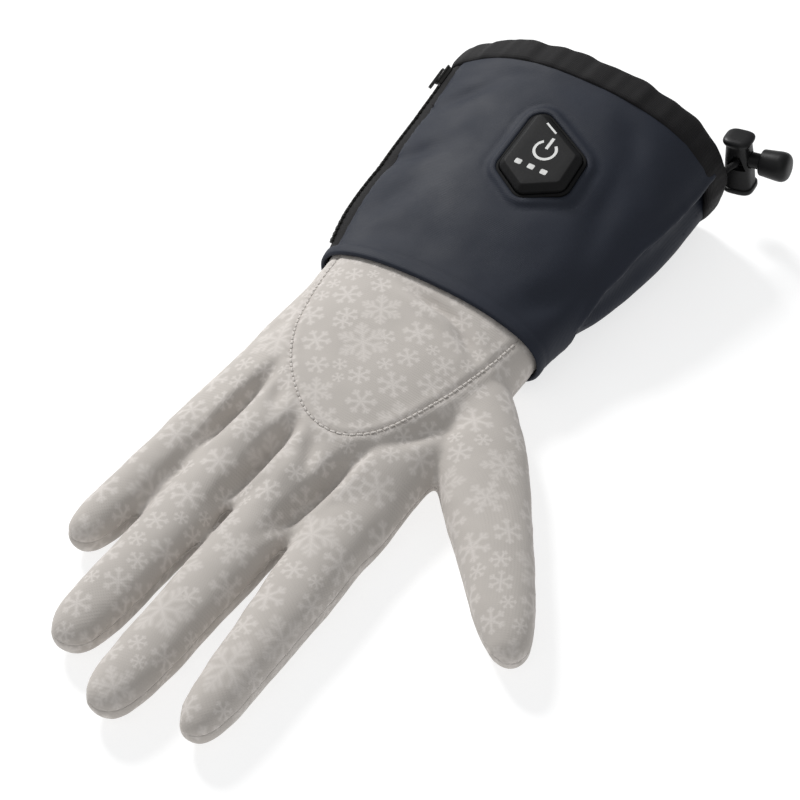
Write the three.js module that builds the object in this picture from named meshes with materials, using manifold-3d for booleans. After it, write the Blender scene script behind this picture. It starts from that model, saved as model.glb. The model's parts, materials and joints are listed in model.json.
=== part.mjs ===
// Heated glove for the right hand, lying back of the hand up.
// Millimetres, +Z up, fingers towards -Y, cuff towards +Y, thumb on +X.
// The hand meets the cuff at y = 0, and the glove lies on z = 0.
import * as THREE from 'three';
import { mergeVertices } from 'three/addons/utils/BufferGeometryUtils.js';
import Module from 'manifold-3d';

const wasm = await Module();
wasm.setup();

// Cloth and clearances
const handWall = 1.6;
const cuffWall = 1.8;
const seamGap = 0.3;
const fitGap = 0.3;

// Hand
const palmWidth = 86;
const wristHeight = 27.4;
const palmLength = 104;
const wristTuck = 6;
const seamHeight = 9.5;

// Fingers: reach from the cuff to the tip, greatest width and height
const littleReach = 142.5;
const ringReach = 177.5;
const middleReach = 191.5;
const indexReach = 184;
const littleWidth = 17.8;
const ringWidth = 21.4;
const middleWidth = 22.2;
const indexWidth = 26.6;
const fingerHeight = 17;
const thumbWidth = 25;
const thumbHeight = 18.5;
const thumbLength = 120;
const thumbAngle = 39.9;

// Cuff
const cuffLength = 96;
const hemWidth = 88;
const openingWidth = 101;
const openingHeight = 53;
const hemHeight = 29.5;
const cuffDrop = 3;
const palmDrop = 1.5;
const palmSettle = 4;
const cutOver = 4;

// Drawcord channel round the arm opening
const bindingWidth = 9;
const bindingThickness = 3.6;
const bindingGather = 0.4;
const bindingGathers = 27;

// Zip on the little-finger side
const zipWidth = 8.5;
const zipBulge = 5;
const coilPitch = 2.6;
const coilWidth = 2.6;
const coilHeight = 1;
const sliderLength = 9;
const sliderWidth = 6;
const sliderThickness = 2.6;

// Control on the cuff
const buttonWidth = 24.4;
const buttonPoint = 19.6;
const buttonHeel = 10.6;
const buttonHeelWidth = 12.8;
const buttonCorner = 1.6;
const buttonHeight = 3.6;
const buttonBevel = 2;
const buttonTravel = 0.8;
const buttonTurn = 32;
const controlY = 57;
const controlX = 7.2;
const cupWall = 1;
const cupDepth = 3.3;
const lipWidth = 3.4;
const lipHeight = 1;
const lightWidth = 2.8;
const lightLength = 2.1;
const lightDepth = 0.7;
const lightPitch = 5;
const lightCount = 3;

// Cord lock and its cord
const lockWidth = 10;
const lockDepth = 9;
const lockHeight = 23;
const lockFlange = 1.6;
const lockRim = 2;
const lockAside = 0.8;
const lockBeyond = 9.5;
const lockZ = 28;
const lockTilt = 6;
const lockTurn = 7;
const plungerDiameter = 9;
const plungerHead = 9.5;
const stemDiameter = 5.6;
const stemLength = 5.6;
const plungerTravel = 3;
const cordDiameter = 2.2;
const cordTail = 0.9;

const ringPoints = 32;
const digitPoints = 16;

// Palm: left and right edges as shares of palm width, crown as a share of wrist height
const palmSections = [
  { along: 0.1, left: -0.48, right: 0.478, crown: 1.0 },
  { along: 0.22, left: -0.482, right: 0.484, crown: 0.995 },
  { along: 0.36, left: -0.482, right: 0.486, crown: 0.98 },
  { along: 0.5, left: -0.482, right: 0.49, crown: 0.95 },
  { along: 0.63, left: -0.488, right: 0.496, crown: 0.89 },
  { along: 0.76, left: -0.498, right: 0.506, crown: 0.8 },
  { along: 0.87, left: -0.503, right: 0.516, crown: 0.7 },
  { along: 0.95, left: -0.49, right: 0.505, crown: 0.58 },
  { along: 1.0, left: -0.45, right: 0.46, crown: 0.42 },
];

// Fingers: where root and tip lie across the palm, as shares of palm width
const fingers = [
  { reach: littleReach, width: littleWidth, root: -0.37, tip: -0.42, start: 0.4, taper: 0.86 },
  { reach: ringReach, width: ringWidth, root: -0.185, tip: -0.155, start: 0.38, taper: 0.92 },
  { reach: middleReach, width: middleWidth, root: 0.085, tip: 0.132, start: 0.37, taper: 0.88 },
  { reach: indexReach, width: indexWidth, root: 0.335, tip: 0.463, start: 0.37, taper: 0.6 },
];

// A finger's sections: distance along it, width and height as shares
const fingerSections = [
  { along: 0.0, width: 0.9, height: 1.14 },
  { along: 0.22, width: 0.97, height: 1.16 },
  { along: 0.42, width: 1.0, height: 1.1 },
  { along: 0.62, width: 1.0, height: 1.0 },
  { along: 0.8, width: 0.98, height: 0.94 },
  { along: 0.9, width: 0.9, height: 0.85 },
  { along: 0.955, width: 0.75, height: 0.7 },
  { along: 0.985, width: 0.52, height: 0.48 },
  { along: 1.0, width: 0.22, height: 0.2 },
];

// Thumb: distance along it, width, height and sideways bow as shares
const thumbSections = [
  { along: 0.0, width: 1.0, height: 1.16, bow: 0.0 },
  { along: 0.15, width: 1.16, height: 1.24, bow: 0.02 },
  { along: 0.3, width: 1.22, height: 1.2, bow: 0.0 },
  { along: 0.46, width: 1.14, height: 1.1, bow: 0.0 },
  { along: 0.6, width: 1.0, height: 1.02, bow: 0.0 },
  { along: 0.74, width: 0.88, height: 0.95, bow: 0.0 },
  { along: 0.85, width: 0.76, height: 0.87, bow: 0.0 },
  { along: 0.925, width: 0.6, height: 0.74, bow: 0.0 },
  { along: 0.975, width: 0.4, height: 0.52, bow: 0.0 },
  { along: 1.0, width: 0.16, height: 0.22, bow: 0.0 },
];

// Hollows and folds on the back of the hand: middle point across the palm and
// along it, heading in degrees from +X, half length and half width as shares
// of palm width, depth as a share of wrist height (a ridge is negative)
const handFolds = [
  { across: -0.275, along: 0.7, heading: 84, length: 0.2, width: 0.045, depth: 0.15 },
  { across: -0.04, along: 0.8, heading: 86, length: 0.19, width: 0.05, depth: 0.17 },
  { across: 0.225, along: 0.82, heading: 86, length: 0.18, width: 0.05, depth: 0.16 },
  { across: 0.13, along: 0.035, heading: 8, length: 0.2, width: 0.03, depth: 0.05 },
  { across: 0.1, along: 0.1, heading: 22, length: 0.22, width: 0.04, depth: -0.03 },
  { across: 0.36, along: 0.5, heading: 62, length: 0.2, width: 0.05, depth: 0.1 },
];

// U-shaped inset on the back of the hand, from the hem on the little-finger
// side round to the hem on the thumb side, as shares of palm width and length
const insetOutline = [
  { across: -0.39, along: -0.09 },
  { across: -0.385, along: 0.06 },
  { across: -0.345, along: 0.24 },
  { across: -0.27, along: 0.41 },
  { across: -0.15, along: 0.57 },
  { across: 0.0, along: 0.69 },
  { across: 0.13, along: 0.72 },
  { across: 0.23, along: 0.68 },
  { across: 0.31, along: 0.58 },
  { across: 0.355, along: 0.42 },
  { across: 0.39, along: 0.2 },
  { across: 0.425, along: -0.09 },
];

// Cuff: half widths on each side as shares of half the width between hem and
// opening, height as a share of the way from hem height to opening height,
// bulge of the zip band as a share of its full bulge
const cuffSections = [
  { along: 0.0, flare: 0.0, rise: 0.0, bulge: 0.0, thumbSide: 0.0 },
  { along: 0.05, flare: 0.06, rise: 0.045, bulge: 0.12, thumbSide: 0.0 },
  { along: 0.16, flare: 0.2, rise: 0.15, bulge: 0.5, thumbSide: 0.1 },
  { along: 0.28, flare: 0.34, rise: 0.27, bulge: 0.7, thumbSide: 0.35 },
  { along: 0.42, flare: 0.48, rise: 0.41, bulge: 0.74, thumbSide: 0.72 },
  { along: 0.56, flare: 0.62, rise: 0.55, bulge: 0.74, thumbSide: 0.92 },
  { along: 0.7, flare: 0.75, rise: 0.69, bulge: 0.76, thumbSide: 1.04 },
  { along: 0.84, flare: 0.87, rise: 0.84, bulge: 0.86, thumbSide: 1.06 },
  { along: 0.93, flare: 0.95, rise: 0.93, bulge: 1.0, thumbSide: 1.03 },
  { along: 1.0, flare: 1.0, rise: 1.0, bulge: 0.9, thumbSide: 1.0 },
];

// Folds in the cuff cloth, in the same columns as the hand's, with shares of
// opening width, cuff length and opening height
const cuffFolds = [
  { across: -0.36, along: 0.5, heading: 35, length: 0.12, width: 0.04, depth: 0.03 },
  { across: -0.34, along: 0.8, heading: 40, length: 0.13, width: 0.035, depth: 0.03 },
  { across: 0.36, along: 0.18, heading: 60, length: 0.14, width: 0.05, depth: 0.03 },
];

// Seam between the cuff's top and its side wedge: along the cuff, share of
// opening height
const gussetSeam = [
  { along: 0.17, height: 0.14 },
  { along: 0.21, height: 0.28 },
  { along: 0.36, height: 0.42 },
  { along: 0.57, height: 0.5 },
  { along: 0.8, height: 0.52 },
  { along: 1.02, height: 0.55 },
];
const gussetFoot = 0.11;
const zipFoot = 0.24;
const zipClimb = 0.3;
const zipStart = 0.045;

const radians = THREE.MathUtils.degToRad;

// Shared geometry helpers
function signedVolume(positions, indices) {
  let sum = 0;
  const at = (i) => new THREE.Vector3().fromArray(positions, i * 3);
  for (let i = 0; i < indices.length; i += 3) {
    sum += at(indices[i]).dot(at(indices[i + 1]).cross(at(indices[i + 2])));
  }
  return sum;
}

function loftGeometry(rings) {
  const count = rings[0].length;
  const positions = [];
  const indices = [];
  for (const ring of rings) {
    for (const point of ring) positions.push(point.x, point.y, point.z);
  }
  for (let r = 0; r + 1 < rings.length; r += 1) {
    for (let i = 0; i < count; i += 1) {
      const a = r * count + i;
      const b = r * count + ((i + 1) % count);
      indices.push(a, b, b + count, a, b + count, a + count);
    }
  }
  const caps = [[0, -1], [rings.length - 1, 1]];
  for (const [r, side] of caps) {
    const middle = new THREE.Vector3();
    for (const point of rings[r]) middle.add(point);
    middle.divideScalar(count);
    const centre = positions.length / 3;
    positions.push(middle.x, middle.y, middle.z);
    for (let i = 0; i < count; i += 1) {
      const a = r * count + i;
      const b = r * count + ((i + 1) % count);
      if (side > 0) indices.push(a, b, centre);
      else indices.push(b, a, centre);
    }
  }
  if (signedVolume(positions, indices) < 0) indices.reverse();
  const geometry = new THREE.BufferGeometry();
  geometry.setAttribute('position', new THREE.Float32BufferAttribute(positions, 3));
  geometry.setIndex(indices);
  return geometry;
}

function solid(geometry) {
  const plain = geometry.clone();
  plain.deleteAttribute('normal');
  plain.deleteAttribute('uv');
  const merged = mergeVertices(plain, 1e-4);
  return new wasm.Manifold(new wasm.Mesh({
    numProp: 3,
    vertProperties: new Float32Array(merged.attributes.position.array),
    triVerts: new Uint32Array(merged.index.array),
  }));
}

function geometryOf(shape) {
  const mesh = shape.getMesh();
  const geometry = new THREE.BufferGeometry();
  geometry.setAttribute('position', new THREE.Float32BufferAttribute(mesh.vertProperties, 3));
  geometry.setIndex(Array.from(mesh.triVerts));
  return geometry;
}

function boxSolid(low, high) {
  const size = high.clone().sub(low);
  const geometry = new THREE.BoxGeometry(size.x, size.y, size.z);
  geometry.translate((low.x + high.x) / 2, (low.y + high.y) / 2, (low.z + high.z) / 2);
  return solid(geometry);
}

// A closed cloth section: rounded above, flattened where it rests at floor level
function sectionRing(spec, count) {
  const ring = [];
  for (let i = 0; i < count; i += 1) {
    const angle = (i / count) * Math.PI * 2;
    const across = Math.sign(Math.cos(angle)) * Math.abs(Math.cos(angle)) ** (2 / spec.square);
    const up = Math.sign(Math.sin(angle)) * Math.abs(Math.sin(angle)) ** (2 / spec.square);
    const reach = up > 0 ? spec.above : spec.below;
    ring.push({ across: across * spec.half, height: Math.max(spec.middle + up * reach, spec.floor) });
  }
  return ring;
}

function smoothValue(rows, key, along) {
  if (along <= rows[0].along) return rows[0][key];
  for (let i = 0; i + 1 < rows.length; i += 1) {
    const here = rows[i];
    const next = rows[i + 1];
    if (along <= next.along) {
      const t = (along - here.along) / (next.along - here.along);
      return here[key] + (next[key] - here[key]) * t;
    }
  }
  return rows[rows.length - 1][key];
}

// Depth of all hollows at a point, in millimetres
function foldDepth(folds, x, y, size) {
  let depth = 0;
  for (const fold of folds) {
    const turn = radians(fold.heading);
    const dx = x - fold.across * size.width;
    const dy = y - fold.along * size.length;
    const u = (dx * Math.cos(turn) + dy * Math.sin(turn)) / (fold.length * size.width);
    const v = (-dx * Math.sin(turn) + dy * Math.cos(turn)) / (fold.width * size.width);
    depth += fold.depth * size.height * Math.exp(-u * u * 1.5 - v * v);
  }
  return depth;
}

// Cuff form
const cuffSize = { width: openingWidth, length: cuffLength, height: openingHeight };

// Lower edge of the zip band, which climbs towards the arm opening
function zipLow(along) {
  return (zipFoot + zipClimb * along) * openingHeight;
}

function cuffSection(along, inset) {
  const at = (key) => smoothValue(cuffSections, key, along);
  const left = -(hemWidth + (openingWidth - hemWidth) * at('flare')) / 2;
  const right = (hemWidth + (openingWidth - hemWidth) * 1.3 * at('thumbSide')) / 2;
  const crown = hemHeight + (openingHeight - hemHeight) * at('rise');
  return { left: left + inset, right: right - inset, crown: crown - inset, bulge: at('bulge') };
}

function cuffRing(along, inset, count) {
  const size = cuffSection(along, inset);
  const middle = size.crown * 0.44;
  const y = along * cuffLength;
  const spec = {
    half: (size.right - size.left) / 2, above: size.crown - middle, below: middle + cuffDrop - inset,
    middle, floor: inset, square: 2.3,
  };
  const zipMiddle = zipLow(along) + zipWidth / 2;
  return sectionRing(spec, count).map((point) => {
    let x = (size.left + size.right) / 2 + point.across;
    const top = Math.max(0, (point.height - middle) / (size.crown - middle));
    const sink = foldDepth(cuffFolds, x, y, cuffSize) * Math.min(1, top * 1.6);
    const near = (point.height - zipMiddle) / zipWidth;
    if (point.across < 0) x -= zipBulge * size.bulge * Math.exp(-near * near * 1.6);
    return new THREE.Vector3(x, y, Math.max(point.height - sink, inset));
  });
}

function cuffSolid(inset, start, end) {
  const alongs = cuffSections.map((row) => row.along);
  const rings = alongs.map((along) => cuffRing(along, inset, ringPoints));
  if (inset > 0) {
    rings.unshift(rings[0].map((p) => p.clone().setY(start)));
    rings.push(rings[rings.length - 1].map((p) => p.clone().setY(end)));
  }
  return solid(loftGeometry(rings));
}

// Hand form
const handSize = { width: palmWidth, length: -palmLength, height: wristHeight };

function palmRings(inset) {
  const rings = [];
  for (const row of palmSections) {
    const left = row.left * palmWidth + inset;
    const right = row.right * palmWidth - inset;
    const crown = row.crown * wristHeight - inset;
    const middle = seamHeight + (row.crown - 1) * palmSettle;
    const y = -row.along * palmLength;
    const spec = {
      half: (right - left) / 2, above: crown - middle, below: middle + palmDrop - inset,
      middle, floor: inset, square: 2.5,
    };
    rings.push(sectionRing(spec, ringPoints).map((point) => {
      const x = (left + right) / 2 + point.across;
      const top = Math.max(0, (point.height - middle) / (crown - middle));
      const sink = foldDepth(handFolds, x, y, handSize) * Math.min(1, top * 1.6);
      return new THREE.Vector3(x, y, Math.max(point.height - sink, inset));
    }));
  }
  const wristInset = cuffWall + fitGap + inset;
  const mouth = cuffRing(wristTuck / cuffLength, wristInset, ringPoints);
  rings.unshift(mouth, cuffRing(0, wristInset, ringPoints));
  if (inset > 0) rings.unshift(mouth.map((p) => p.clone().setY(wristTuck * 2)));
  return rings;
}

function digitRings(digit, inset) {
  const rows = digit.sections;
  const direction = digit.tip.clone().sub(digit.root);
  const length = direction.length() - inset;
  direction.normalize();
  const side = new THREE.Vector3(-direction.y, direction.x, 0);
  return rows.map((row) => {
    const centre = digit.root.clone().addScaledVector(direction, row.along * length);
    centre.addScaledVector(side, (row.bow ?? 0) * digit.width);
    const narrowing = 1 - (1 - digit.taper) * row.along;
    const half = Math.max(row.width * digit.width * narrowing / 2 - inset, 0.6);
    const tall = Math.max(row.height * digit.height / 2 - inset, 0.5);
    const middle = digit.height / 2;
    const spec = { half, above: tall, below: tall * 1.08, middle, floor: inset, square: 2.25 };
    return sectionRing(spec, digitPoints).map((point) => (
      centre.clone().addScaledVector(side, point.across).setZ(point.height)
    ));
  });
}

function fingerDigit(row) {
  return {
    sections: fingerSections,
    root: new THREE.Vector3(row.root * palmWidth, -row.start * row.reach, 0),
    tip: new THREE.Vector3(row.tip * palmWidth, -row.reach, 0),
    width: row.width,
    height: fingerHeight,
    taper: row.taper,
  };
}

const thumbRoot = new THREE.Vector3(palmWidth * 0.308, -palmLength * 0.147, 0);
const thumbReach = new THREE.Vector3(
  Math.sin(radians(thumbAngle)) * thumbLength,
  -Math.cos(radians(thumbAngle)) * thumbLength,
  0,
);
const thumbDigit = {
  sections: thumbSections,
  root: thumbRoot,
  tip: thumbRoot.clone().add(thumbReach),
  width: thumbWidth,
  height: thumbHeight,
  taper: 1,
};

function handSolid(inset) {
  let body = solid(loftGeometry(palmRings(inset)));
  for (const row of fingers) {
    body = body.add(solid(loftGeometry(digitRings(fingerDigit(row), inset))));
  }
  return body.add(solid(loftGeometry(digitRings(thumbDigit, inset))));
}

function insetPrism(grow) {
  const points = insetOutline.map((row) => (
    new THREE.Vector2(row.across * palmWidth, -row.along * palmLength)
  ));
  const centre = new THREE.Vector2(0.02 * palmWidth, -0.2 * palmLength);
  const shape = new THREE.Shape(points.map((point) => {
    const away = point.clone().sub(centre);
    return point.clone().addScaledVector(away.normalize(), grow);
  }));
  const geometry = new THREE.ExtrudeGeometry(shape, { depth: wristHeight * 2, bevelEnabled: false });
  geometry.translate(0, 0, seamHeight);
  return solid(geometry);
}

const far = 400;
const handShell = handSolid(0).subtract(handSolid(handWall));
const aboveSeam = boxSolid(
  new THREE.Vector3(-far, -far, seamHeight + seamGap / 2),
  new THREE.Vector3(far, far, far),
);
const belowSeam = boxSolid(
  new THREE.Vector3(-far, -far, -far),
  new THREE.Vector3(far, far, seamHeight - seamGap / 2),
);
const handBack = handShell.intersect(aboveSeam);
const palmPanel = handShell.intersect(belowSeam);
const backInset = handBack.intersect(insetPrism(-seamGap / 2));
const backPanel = handBack.subtract(insetPrism(seamGap / 2));

// Outline of the control with round corners, grown outwards by a distance
const buttonCorners = [
  new THREE.Vector2(0, buttonPoint),
  new THREE.Vector2(-buttonWidth / 2, 0),
  new THREE.Vector2(-buttonHeelWidth / 2, -buttonHeel),
  new THREE.Vector2(buttonHeelWidth / 2, -buttonHeel),
  new THREE.Vector2(buttonWidth / 2, 0),
];

function controlOutline(grow) {
  const count = buttonCorners.length;
  const arcSteps = 3;
  const outline = [];
  for (let i = 0; i < count; i += 1) {
    const here = buttonCorners[i];
    const before = here.clone().sub(buttonCorners[(i + count - 1) % count]).normalize();
    const after = buttonCorners[(i + 1) % count].clone().sub(here).normalize();
    const outBefore = new THREE.Vector2(before.y, -before.x);
    const outAfter = new THREE.Vector2(after.y, -after.x);
    const bisector = outBefore.clone().add(outAfter).normalize();
    const shift = buttonCorner / bisector.dot(outBefore);
    const pivot = here.clone().addScaledVector(bisector, -shift);
    const from = outBefore.angle();
    let sweep = outAfter.angle() - from;
    if (sweep < -Math.PI) sweep += Math.PI * 2;
    for (let k = 0; k <= arcSteps; k += 1) {
      const angle = from + (sweep * k) / arcSteps;
      const radius = buttonCorner + grow;
      outline.push(pivot.clone().add(
        new THREE.Vector2(Math.cos(angle), Math.sin(angle)).multiplyScalar(radius),
      ));
    }
  }
  return outline;
}

function outlineLoft(levels) {
  return loftGeometry(levels.map(([grow, height]) => (
    controlOutline(grow).map((point) => new THREE.Vector3(point.x, point.y, height))
  )));
}

const cuffSlope = Math.atan2(openingHeight - hemHeight, cuffLength);
const controlHeight = hemHeight + Math.tan(cuffSlope) * controlY;
const controlGroup = new THREE.Group();
controlGroup.position.set(controlX, controlY, controlHeight);
controlGroup.rotation.set(cuffSlope, 0, radians(buttonTurn), 'XYZ');
controlGroup.updateMatrixWorld(true);

function inCuff(geometry) {
  return solid(geometry.clone().applyMatrix4(controlGroup.matrixWorld));
}

const skirtGrow = buttonBevel;
const cupInner = skirtGrow + fitGap;
const cupOuter = cupInner + cupWall;
const panelHole = cupOuter + fitGap;

const cuffTube = cuffSolid(0, 0, 0).subtract(cuffSolid(cuffWall, -cutOver, cuffLength + cutOver));
const lipRing = inCuff(outlineLoft([
  [panelHole + lipWidth, -cuffWall * 0.7],
  [panelHole + lipWidth * 0.62, lipHeight],
  [panelHole, lipHeight],
]));
const cuffWithLip = cuffTube.add(lipRing).subtract(inCuff(outlineLoft([
  [panelHole, -cupDepth * 3],
  [panelHole, buttonHeight * 3],
])));

// Outline in Y and Z pushed across the cuff's side
function sidePrism(points, fromX, toX) {
  const shape = new THREE.Shape(points.map((p) => new THREE.Vector2(p[0], p[1])));
  const geometry = new THREE.ExtrudeGeometry(shape, { depth: toX - fromX, bevelEnabled: false });
  geometry.applyMatrix4(new THREE.Matrix4().makeBasis(
    new THREE.Vector3(0, 1, 0),
    new THREE.Vector3(0, 0, 1),
    new THREE.Vector3(1, 0, 0),
  ));
  geometry.translate(fromX, 0, 0);
  return solid(geometry);
}

function gussetPrism(grow) {
  const seam = gussetSeam.map((row) => [row.along * cuffLength, row.height * openingHeight]);
  const foot = gussetFoot * openingHeight;
  const points = seam.map(([y, z], i) => [i === 0 ? y - grow : y, i === 0 ? z : z + grow]);
  const last = points[points.length - 1];
  points.push([last[0], foot - grow]);
  points.push([points[0][0], foot - grow]);
  return sidePrism(points.reverse(), openingWidth * 0.2, openingWidth);
}

function zipPrism(grow) {
  const start = zipStart * cuffLength - grow;
  const end = cuffLength * 1.05;
  const low = (y) => zipLow(y / cuffLength) - grow;
  const high = (y) => zipLow(y / cuffLength) + zipWidth + grow;
  const shoulder = start + zipWidth;
  const points = [
    [start, low(start)], [end, low(end)], [end, high(end)], [shoulder, high(shoulder)],
  ];
  return sidePrism(points, -openingWidth, -openingWidth * 0.2);
}

// The underside meets the top inside the zip band's width and inside the side wedge
const underClimb = (zipClimb * openingHeight) / cuffLength;
const underLeft = zipLow(0) + zipWidth / 2;
const underRight = ((gussetFoot + gussetSeam[0].height) / 2) * openingHeight
  - underClimb * gussetSeam[0].along * cuffLength;
const underSlope = (underRight - underLeft) / (openingWidth * 0.96);
const underMiddle = (underLeft + underRight) / 2;
const underNormal = new THREE.Vector3(-underSlope, -underClimb, 1).normalize();

function halfSpace(above) {
  const geometry = new THREE.BoxGeometry(far, far, far);
  geometry.translate(0, 0, above ? far / 2 + seamGap / 2 : -far / 2 - seamGap / 2);
  geometry.applyQuaternion(new THREE.Quaternion().setFromUnitVectors(
    new THREE.Vector3(0, 0, 1),
    underNormal,
  ));
  geometry.translate(0, 0, underMiddle);
  return solid(geometry);
}

const sideGusset = cuffWithLip.intersect(gussetPrism(0));
const zipTape = cuffTube.intersect(zipPrism(0));
const cuffRest = cuffWithLip.subtract(gussetPrism(seamGap)).subtract(zipPrism(seamGap));
const cuffTop = cuffRest.intersect(halfSpace(true));
const cuffUnder = cuffRest.intersect(halfSpace(false));

// Drawcord channel: a flattened ring with small gathers
function bindingGeometry() {
  const around = bindingGathers * 2;
  const start = cuffLength + seamGap;
  const base = cuffRing(1, cuffWall / 2, around);
  const profile = [
    [0, -0.36], [0.14, -0.5], [0.86, -0.5],
    [1, -0.3], [1, 0.3], [0.86, 0.5], [0.14, 0.5], [0, 0.36],
  ];
  const centre = new THREE.Vector3();
  for (const point of base) centre.add(point);
  centre.divideScalar(around);
  const positions = [];
  const indices = [];
  for (let i = 0; i < around; i += 1) {
    const here = base[i];
    const next = base[(i + 1) % around];
    const last = base[(i + around - 1) % around];
    const way = next.clone().sub(last);
    const out = new THREE.Vector3(way.z, 0, -way.x).normalize();
    if (out.dot(here.clone().sub(centre)) < 0) out.negate();
    const puff = i % 2 === 0 ? bindingGather : -bindingGather;
    for (const [width, thick] of profile) {
      const swell = thick * bindingThickness + Math.sign(thick) * puff * 0.5;
      const point = here.clone().addScaledVector(out, swell);
      positions.push(point.x, start + width * bindingWidth, Math.max(point.z, 0));
    }
  }
  const size = profile.length;
  for (let i = 0; i < around; i += 1) {
    const j = (i + 1) % around;
    for (let k = 0; k < size; k += 1) {
      const m = (k + 1) % size;
      const a = i * size + k;
      const b = j * size + k;
      const c = j * size + m;
      const d = i * size + m;
      indices.push(a, b, c, a, c, d);
    }
  }
  if (signedVolume(positions, indices) < 0) indices.reverse();
  const geometry = new THREE.BufferGeometry();
  geometry.setAttribute('position', new THREE.Float32BufferAttribute(positions, 3));
  geometry.setIndex(indices);
  return geometry;
}

// The point of the cuff's wall at a height, on the thumb side (1) or the other (-1)
function wallPoint(along, inset, height, side) {
  const ring = cuffRing(along, inset, 360).filter((point) => point.x * side > 0);
  const offset = (point) => Math.abs(point.z - height);
  return ring.reduce((best, point) => (offset(point) < offset(best) ? point : best));
}

// The band's crest: its place, its way up the wall and its way out
function zipCrest(along, stand) {
  const height = zipLow(along) + zipWidth / 2;
  const wall = wallPoint(along, 0, height, -1);
  const low = wallPoint(along, 0, height - 1, -1);
  const high = wallPoint(along, 0, height + 1, -1);
  const up = high.clone().sub(low).normalize();
  const out = new THREE.Vector3(-up.z, 0, up.x);
  return { up, out, foot: wall.clone().addScaledVector(out, stand) };
}

// Zip chain: a low ridge of coils along the crest of the band
function chainGeometry(from, to) {
  const coils = Math.floor(((to - from) * cuffLength) / coilPitch);
  const rings = [];
  for (let i = 0; i <= coils * 2; i += 1) {
    const along = from + ((to - from) * i) / (coils * 2);
    const { up, out, foot } = zipCrest(along, fitGap);
    const high = coilHeight * (i % 2 === 0 ? 0.7 : 1);
    const half = (coilWidth / 2) * (i % 2 === 0 ? 0.86 : 1);
    const corner = (rise, side) => foot.clone().addScaledVector(out, rise).addScaledVector(up, side);
    rings.push([
      corner(0, -half),
      corner(high, -half * 0.6),
      corner(high, half * 0.6),
      corner(0, half),
    ]);
  }
  return loftGeometry(rings);
}

// Slider with its short pull, one piece seated over the chain's end
function sliderGeometry(along) {
  const { out, foot } = zipCrest(along, fitGap);
  const outline = new THREE.Shape();
  const half = sliderWidth / 2;
  outline.moveTo(-sliderLength / 2, -half * 0.6);
  outline.lineTo(sliderLength * 0.2, -half);
  outline.lineTo(sliderLength / 2, -half * 0.7);
  outline.lineTo(sliderLength / 2, half * 0.7);
  outline.lineTo(sliderLength * 0.2, half);
  outline.lineTo(-sliderLength / 2, half * 0.6);
  const plate = new THREE.ExtrudeGeometry(outline, {
    depth: sliderThickness, bevelEnabled: false,
  });
  const pull = new THREE.Shape();
  pull.moveTo(-sliderLength, -half * 0.45);
  pull.lineTo(sliderLength * 0.2, -half * 0.45);
  pull.lineTo(sliderLength * 0.2, half * 0.45);
  pull.lineTo(-sliderLength, half * 0.45);
  const tab = new THREE.ExtrudeGeometry(pull, { depth: 1.2, bevelEnabled: false });
  tab.translate(0, 0, sliderThickness - 0.4);
  const before = zipCrest(along - 0.04, fitGap).foot;
  const after = zipCrest(along + 0.04, fitGap).foot;
  const run = after.sub(before).normalize();
  const side = new THREE.Vector3().crossVectors(out, run).normalize();
  const clear = new THREE.Vector3().crossVectors(run, side);
  const stack = new THREE.Matrix4().makeBasis(run, side, clear);
  const whole = solid(plate).add(solid(tab));
  const geometry = geometryOf(whole);
  geometry.applyMatrix4(stack.premultiply(
    new THREE.Matrix4().makeTranslation(foot.x, foot.y, foot.z),
  ));
  return geometry;
}

// Cord lock: local X is the plunger's way out, Y the cord, Z up
const cordStart = cuffLength + seamGap + bindingWidth + fitGap;
const cordExit = wallPoint(1, cuffWall / 2, lockZ - cordDiameter / 2, 1).setY(cordStart);
const lockGroup = new THREE.Group();
lockGroup.position.set(
  cordExit.x + lockAside, cuffLength + bindingWidth + lockBeyond, lockZ,
);
lockGroup.rotation.set(0, -radians(lockTilt), radians(lockTurn), 'ZYX');
const lockTop = lockHeight * 0.4;
const lockFoot = lockTop - lockHeight;
const boreDiameter = stemDiameter + 2 * fitGap;
const slotHeight = cordDiameter + 2 * fitGap;

function lockBodyGeometry() {
  const half = lockWidth / 2;
  const deep = lockDepth / 2;
  const levels = [
    [lockFoot, 0.86], [lockFoot + lockRim * 0.4, 1.12], [lockFoot + lockRim, 1.12],
    [lockFoot + lockRim, 0.94], [lockTop - lockFlange * 2, 0.84], [lockTop - lockFlange, 1.04],
    [lockTop - lockFlange * 0.4, 1.0], [lockTop, 0.6],
  ];
  const corner = 0.62;
  const body = solid(loftGeometry(levels.map(([z, grow]) => {
    const w = half * grow;
    const d = deep * grow;
    return [
      [w, -d * corner], [w, d * corner], [w * corner, d], [-w * corner, d],
      [-w, d * corner], [-w, -d * corner], [-w * corner, -d], [w * corner, -d],
    ].map(([x, y]) => new THREE.Vector3(x, y, z));
  })));
  const boreEnd = half - stemLength - plungerTravel - fitGap;
  const boreLength = half * 1.3 - boreEnd;
  const bore = new THREE.CylinderGeometry(boreDiameter / 2, boreDiameter / 2, boreLength, 24);
  bore.rotateZ(Math.PI / 2);
  bore.translate(boreEnd + boreLength / 2, 0, 0);
  const window = new THREE.Shape();
  const wide = plungerTravel / 2 + cordDiameter;
  window.moveTo(-wide, -slotHeight);
  window.lineTo(wide, -slotHeight);
  window.lineTo(wide * 0.5, slotHeight);
  window.lineTo(0, slotHeight * 1.25);
  const tunnel = new THREE.ExtrudeGeometry(window, { depth: lockDepth * 2, bevelEnabled: false });
  tunnel.rotateX(Math.PI / 2);
  tunnel.translate(0, lockDepth, 0);
  return geometryOf(body.subtract(solid(bore)).subtract(solid(tunnel)));
}

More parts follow.
